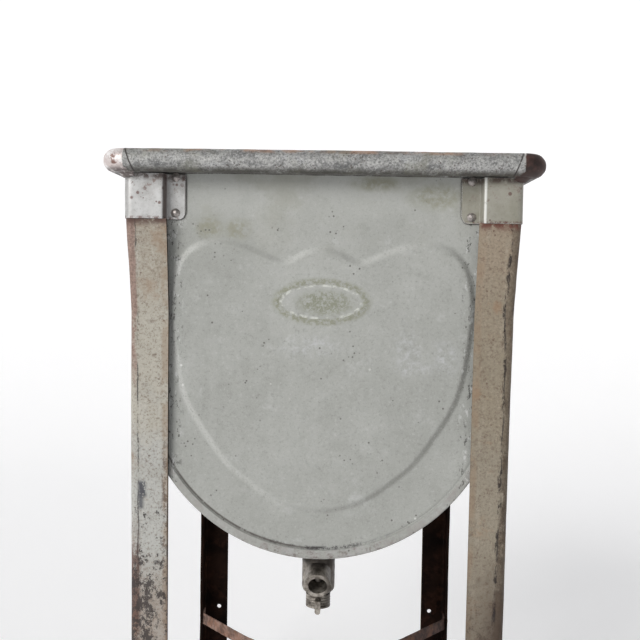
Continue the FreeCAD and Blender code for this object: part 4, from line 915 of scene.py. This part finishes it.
def rim_edge(outward, wall, other_wall, seed):
    """One rolled edge, mitred at the corners and ending at the caps."""
    path = roll_path()
    cap = CAP_X - SHELL_R
    limit = other_wall + np.minimum(np.maximum(path[:, 0], 0), cap)
    stations = np.linspace(-1, 1, 190)
    along = stations[None, :] * limit[:, None]
    out = np.broadcast_to((wall + path[:, 0])[:, None], along.shape)
    up = np.broadcast_to(path[:, 1][:, None], along.shape)
    if abs(outward[0]) > 0.5:
        grid = np.stack([out * outward[0], along, up], axis=-1)
    else:
        grid = np.stack([along, out * outward[1], up], axis=-1)
    faces_out = outward[0] > 0 or outward[1] < 0
    wave = dents(grid, seed, (0.16, 1.2, 0.16), (0.022, 1.2, 0.09))
    return pushed(grid, wave, faces_out), not faces_out


def make_rims():
    edges = {
        "front": ((0, -1), END_Y, SHELL_R), "rear": ((0, 1), END_Y, SHELL_R),
        "left": ((-1, 0), SHELL_R, END_Y), "right": ((1, 0), SHELL_R, END_Y),
    }
    pieces = {}
    for seed, (edge, (outward, wall, other)) in enumerate(edges.items()):
        grid, flipped = rim_edge(outward, wall, other, 20 + 3 * seed)
        pieces[edge] = sheet_piece(f"{edge}_rim_roll", grid, SHEET, flip=not flipped)
    return pieces


def tank_trough():
    """The bent sheet between the two ends, with its drain hole."""
    radius = SHELL_R - 0.1 * MM
    side, _, height = tank_section(radius, 40, 150)
    half_length = END_Y - 1.6 * MM
    stations = np.linspace(-half_length, half_length, 170)
    across = radius * side
    grid = np.stack(np.broadcast_arrays(across[:, None], stations[None, :], height[:, None]), axis=-1)
    fade = 1 - smoothstep(np.abs(stations), 0.20, 0.275)[None, :]
    wave = dents(grid, 51, (0.28, 1.3, 0.5), (0.06, 1.1, 0.12)) * fade
    faces_out = grid_normals(grid)[0, 0, 0] < 0
    trough = sheet_piece("tank_trough", pushed(grid, wave, faces_out), SHEET, flip=not faces_out)
    low = BOWL_Z - SHELL_R
    return drill(trough, 16.6 * MM, DRAIN + Vector((0, 0, low - 0.02)), DRAIN + Vector((0, 0, low + 0.02)))


# ---- corner sockets and legs

def bent_path(points, rounds, per_bend=8):
    """A plan path of straight runs with each inner corner rounded by its radius."""
    corners = [np.array(point, float) for point in points]
    path = [corners[0]]
    for before, corner, after, radius in zip(corners, corners[1:], corners[2:], rounds):
        back = (before - corner) / np.linalg.norm(before - corner)
        ahead = (after - corner) / np.linalg.norm(after - corner)
        half = math.acos(np.clip(np.dot(back, ahead), -1, 1)) / 2
        setback = radius / math.tan(half)
        middle = corner + (back + ahead) / np.linalg.norm(back + ahead) * radius / math.sin(half)
        first, last = corner + back * setback - middle, corner + ahead * setback - middle
        sweep = math.pi - 2 * half
        for share in np.linspace(0, 1, per_bend):
            blend = (math.sin((1 - share) * sweep) * first + math.sin(share * sweep) * last) / math.sin(sweep)
            path.append(middle + blend)
    path.append(corners[-1])
    return np.array(path)


def filled(path, pitch):
    """Adds points so that no run of a path is longer than the pitch."""
    points = [path[0]]
    for start, end in zip(path, path[1:]):
        steps = max(1, int(math.ceil(np.linalg.norm(end - start) / pitch)))
        points += [start + (end - start) * step / steps for step in range(1, steps + 1)]
    return np.array(points)


CORNERS = {"front_left": (-1, -1), "front_right": (1, -1), "rear_left": (-1, 1), "rear_right": (1, 1)}


def corner_socket(corner, seed):
    """A pressed pocket with two riveted flanges; the flanges' lower corners are round."""
    sx, sy = CORNERS[corner]
    low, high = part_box(f"leg_socket_{corner}")
    out_x = max(abs(low.x), abs(high.x))
    out_y = max(abs(low.y), abs(high.y))
    end_wall, side_wall = END_Y + SHEET, SHELL_R + SHEET
    face_end, side_end, flange, jog = 176 * MM, 260 * MM, 21 * MM, 2 * MM
    corners = [(face_end - flange, end_wall), (face_end, end_wall), (face_end + jog, out_y), (out_x, out_y),
               (out_x, side_end + jog), (side_wall, side_end), (side_wall, side_end - flange)]
    path = filled(bent_path(corners, [1.2 * MM, 2.2 * MM, 9 * MM, 2.2 * MM, 1.2 * MM]), 2.5 * MM)
    run = np.concatenate([[0], np.cumsum(np.linalg.norm(np.diff(path, axis=0), axis=1))])
    from_tip = np.minimum(run, run[-1] - run)
    bite = 8 * MM
    rise = np.where(from_tip < bite, bite - np.sqrt(np.maximum(bite**2 - (bite - from_tip) ** 2, 0)), 0)
    share = np.linspace(0, 1, 26)
    bottom = low.z + rise
    up = bottom[:, None] + (high.z - bottom)[:, None] * share[None, :]
    grid = np.stack([np.broadcast_to(path[:, 0][:, None] * sx, up.shape),
                     np.broadcast_to(path[:, 1][:, None] * sy, up.shape), up], axis=-1)
    faces_out = grid_normals(grid)[len(path) // 3, 10][1] * sy > 0
    free = smoothstep(from_tip, flange, flange + 6 * MM)[:, None]
    grid = pushed(grid, dents(grid, seed, (0.035, 1.2, 0.28)) * free, faces_out)
    return sheet_piece(f"socket_{corner}", grid, SHEET, flip=not faces_out)


def angle_leg(corner, seed):
    """Pressed angle, slightly bruised, leaning out to its socket, with a narrower neck inside it."""
    sx, sy = CORNERS[corner]
    thickness, bend = 2.7 * MM, 8 * MM
    heights = np.concatenate([np.linspace(0, 0.300, 80), np.linspace(0.300, 0.700, 110)[1:],
                              np.linspace(0.700, SEAT_Z, 34)[1:], [SEAT_Z + 0.02 * MM],
                              np.linspace(SEAT_Z, LEG_TOP, 14)[1:]])
    lean = np.interp(heights, *zip(*LEG_LEANS))
    flange = np.where(heights > SEAT_Z, NECK_FLANGE, LEG_FLANGE + lean / 2)
    columns = []
    for out, width in zip(lean, flange):
        corner_x, corner_y = LEG_X + out, LEG_Y + out
        plan = bent_path([(corner_x - width, corner_y), (corner_x, corner_y), (corner_x, corner_y - width)],
                         [bend], 14)
        runs = np.linspace(0, 1, 10)[:-1, None]
        columns.append(np.concatenate([plan[0] + (plan[1] - plan[0]) * runs, plan[1:-1],
                                       plan[-1] + (plan[-2] - plan[-1]) * runs[::-1]]))
    plans = np.stack(columns, axis=1)
    up = np.broadcast_to(heights[None, :], plans.shape[:2])
    grid = np.stack([plans[..., 0] * sx, plans[..., 1] * sy, up], axis=-1)
    faces_out = grid_normals(grid)[3, 50][1] * sy > 0
    fade = smoothstep(heights, 0.0, 0.05) * (1 - smoothstep(heights, 0.74, 0.79))
    wave = dents(grid, seed, (0.20, 1.2, 0.35), (0.03, 1.2, 0.12))
    grid = pushed(grid, wave * fade[None, :], faces_out)
    leg = sheet_piece(f"angle_{corner}", grid, thickness, flip=not faces_out, lip=0.22)
    hole_x = (LEG_X - LEG_FLANGE + 14 * MM) * sx
    hole_z = BRACE_Z + 10 * MM
    drill(leg, 3.5 * MM, (hole_x, (LEG_Y + 0.01) * sy, hole_z), (hole_x, (LEG_Y - 0.01) * sy, hole_z), 32)
    mark_inside(leg, sx, sy)
    return leg


def mark_inside(leg, sx, sy):
    """Writes the attribute that tells the hollow side of the angle from its painted outside; it also takes in
    the left legs' inner free edge, and the dark laid through it is bare rust and painted shade.
    """
    marks = leg.data.attributes.new("inside", "FLOAT", "CORNER")
    values = []
    for polygon in leg.data.polygons:
        facing = min(polygon.normal.x * sx, polygon.normal.y * sy)
        free_edge = abs(polygon.center.x) < LEG_X - LEG_FLANGE + 6 * MM
        inward = facing < -0.4 and not (free_edge and sx > 0 and polygon.normal.x < -0.6)
        values += [1.0 if inward else 0.0] * len(polygon.loop_indices)
    marks.data.foreach_set("value", values)


# ---- make and place every piece

put(end_panel("front_panel_sheet", -1, 5), "tub", FRONT_PAINT, "front_end_panel", slot="galvanised_sheet")
put(end_panel("rear_panel_sheet", 1, 8), "tub", SHEET_PAINT, "rear_end_panel", slot="galvanised_sheet")
put(tank_trough(), "tub", SHEET_PAINT, "tub_shell", slot="galvanised_sheet")
for edge, roll in make_rims().items():
    put(roll, "tub", RIM_PAINT, slot="galvanised_sheet")
    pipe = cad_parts[f"rim_pipe_{edge}"]
    pipe.data.materials.clear()
    pipe.data.materials.append(PIPE_STEEL)

for number, corner in enumerate(CORNERS):
    hand = corner.split("_")[1]
    cap = carried(f"corner_cap_{corner}", f"cap_{corner}", voxel=0.4 * MM, smooth=2, dent=0.3 * MM,
                  seed=30 + number)
    put(cap, "tub", CAP_FINISH[corner], f"corner_cap_{corner}", slot="cast_cap")
    put(corner_socket(corner, 40 + number), "tub", SOCKET_FINISH[hand], f"leg_socket_{corner}",
        slot="galvanised_sheet")
    rivets = carried(f"socket_rivets_{corner}", f"rivets_{corner}", voxel=0.45 * MM, smooth=3, dent=0.35 * MM,
                     wavelength=4 * MM, seed=50 + number)
    put(rivets, "tub", RIVET_STEEL, f"socket_rivets_{corner}", slot="rivet_steel")
    put(angle_leg(corner, 60 + 2 * number), "stand", LEG_FINISH[hand], f"leg_{corner}", slot="painted_leg")

# the lower brace takes the painted-shade copy of the rust, the upper brace the lit one
for node, material in (("cross_brace_lower", STRIP_RUST_SHADED), ("cross_brace_upper", STRIP_RUST_LIT)):
    strip = carried(node, f"strip_{node[12:]}", voxel=0.8 * MM, smooth=3, dent=0.4 * MM, wavelength=14 * MM,
                    seed=70)
    put(strip, "stand", material, node, slot="rusted_strip")
# the brace rivets' heads take the painted-shade copy of the rust
for node in ("brace_leg_rivets", "brace_centre_rivet"):
    heads = carried(node, node.replace("brace", "stand"), voxel=0.4 * MM, smooth=3, dent=0.3 * MM,
                    wavelength=4 * MM, seed=74)
    put(heads, "stand", STRIP_RUST_SHADED, node, slot="rusted_strip")

for node, voxel, smooth in (("drain_flange", 0.6, 3), ("drain_locknut", 0.5, 3), ("valve_body", 0.55, 5)):
    cast = carried(node, f"cock_{node}", voxel=voxel * MM, smooth=smooth, dent=0.25 * MM, wavelength=8 * MM,
                   seed=80)
    put(cast, "tub", BRASS, node, slot="drain_brass")
for node, voxel in (("valve_plug", 0.5), ("valve_knob", 0.35)):
    turned = carried(node, f"cock_{node}", voxel=voxel * MM, smooth=2, dent=0.1 * MM, wavelength=8 * MM,
                     seed=84)
    put(turned, "plug", BRASS, node, slot="drain_brass")
screw = carried("knob_screw", "cock_screw", voxel=0.3 * MM, smooth=2)
put(screw, "plug", RIVET_STEEL, "knob_screw", slot="rivet_steel")
gasket = carried("drain_gasket", "cock_gasket", voxel=0.5 * MM, smooth=4, dent=0.3 * MM, wavelength=10 * MM,
                 seed=86)
put(gasket, "tub", RUBBER, "drain_gasket", slot="seal_rubber")


# ---- floor, light and camera

def pale_floor():
    """A seamless sheet: flat under the tank, curving up well behind it."""
    radius, back, half = 1.6, 2.2, 14.0
    turn = np.radians(np.linspace(0, 90, 40))
    rise = [(back + radius * math.sin(t), radius * (1 - math.cos(t))) for t in turn]
    section = [(-12.0, 0.0)] + rise + [(back + radius, 9.0)]
    points = [(x, y, z) for y, z in section for x in (-half, half)]
    faces = [[2 * n, 2 * n + 1, 2 * n + 3, 2 * n + 2] for n in range(len(section) - 1)]
    mesh = bpy.data.meshes.new("floor")
    mesh.from_pydata(points, [], faces)
    mesh.polygons.foreach_set("use_smooth", [True] * len(mesh.polygons))
    made = Finish("floor_paint")
    made.colour = made.mix(made.noise(3, 3) * 0.2, (0.93, 0.93, 0.94), (0.9, 0.9, 0.91))
    mesh.materials.append(made.finish(0.9, 0.0, specular=0.1))
    made.shader.inputs["Emission Color"].default_value = (1, 1, 1, 1)
    made.shader.inputs["Emission Strength"].default_value = 0.17
    added("floor", mesh)


def studio_light():
    """Even pale surroundings, a broad soft light from the upper left, and a fainter one from the front left.
    """
    scene = bpy.context.scene
    world = bpy.data.worlds.new("studio")
    scene.world = world
    world.use_nodes = True
    tree = world.node_tree
    tree.nodes.clear()
    mix = tree.nodes.new("ShaderNodeMixShader")
    tree.links.new(tree.nodes.new("ShaderNodeLightPath").outputs["Is Camera Ray"], mix.inputs[0])
    for slot, colour, strength in ((1, (0.97, 0.98, 1, 1), 0.26), (2, (1, 1, 1, 1), 1.0)):
        shade = tree.nodes.new("ShaderNodeBackground")
        shade.inputs["Color"].default_value = colour
        shade.inputs["Strength"].default_value = strength
        tree.links.new(shade.outputs[0], mix.inputs[slot])
    tree.links.new(mix.outputs[0], tree.nodes.new("ShaderNodeOutputWorld").inputs["Surface"])
    sun = bpy.data.lights.new("window", "SUN")
    sun.energy = 1.80
    sun.angle = math.radians(34)
    sun.color = (1.0, 0.99, 0.97)
    towards = Vector((-0.52, -0.76, 0.40))
    added("window", sun).rotation_euler = towards.to_track_quat("Z", "Y").to_euler()
    soft = bpy.data.lights.new("softbox", "AREA")
    soft.shape = "RECTANGLE"
    soft.size, soft.size_y = 1.2, 2.0
    soft.energy = 5
    box = added("softbox", soft)
    box.location = (-2.0, -1.9, 1.5)
    aim = Vector((0, -0.25, 0.65)) - box.location
    box.rotation_euler = aim.to_track_quat("-Z", "Y").to_euler()
    scene.view_settings.view_transform = "Standard"


def photo_camera():
    """The camera: level with the tank's upper half, square to its near end, tipped down a little."""
    focal_share = 1.5115625    # focal length over the sensor's width
    place = Vector((24.1 * MM, -(LEG_Y + 1.0854), RIM_TOP - 141.1 * MM))
    yaw, tilt, roll = math.radians(-1.34), math.radians(2.35), math.radians(-0.95)
    side = Vector((math.cos(yaw), -math.sin(yaw), 0))
    ahead = Vector((math.sin(yaw), math.cos(yaw), 0))
    forward = ahead * math.cos(tilt) - Vector((0, 0, math.sin(tilt)))
    lift = ahead * math.sin(tilt) + Vector((0, 0, math.cos(tilt)))
    right = side * math.cos(roll) - lift * math.sin(roll)
    up = side * math.sin(roll) + lift * math.cos(roll)
    camera = bpy.data.cameras.new("camera")
    camera.sensor_width = 36
    camera.lens = camera.sensor_width * focal_share
    camera.clip_start = 0.01
    holder = added("camera", camera)
    basis = Matrix((right, up, -forward)).transposed().to_4x4()
    holder.matrix_world = Matrix.Translation(place) @ basis
    bpy.context.scene.camera = holder


pale_floor()
studio_light()
photo_camera()
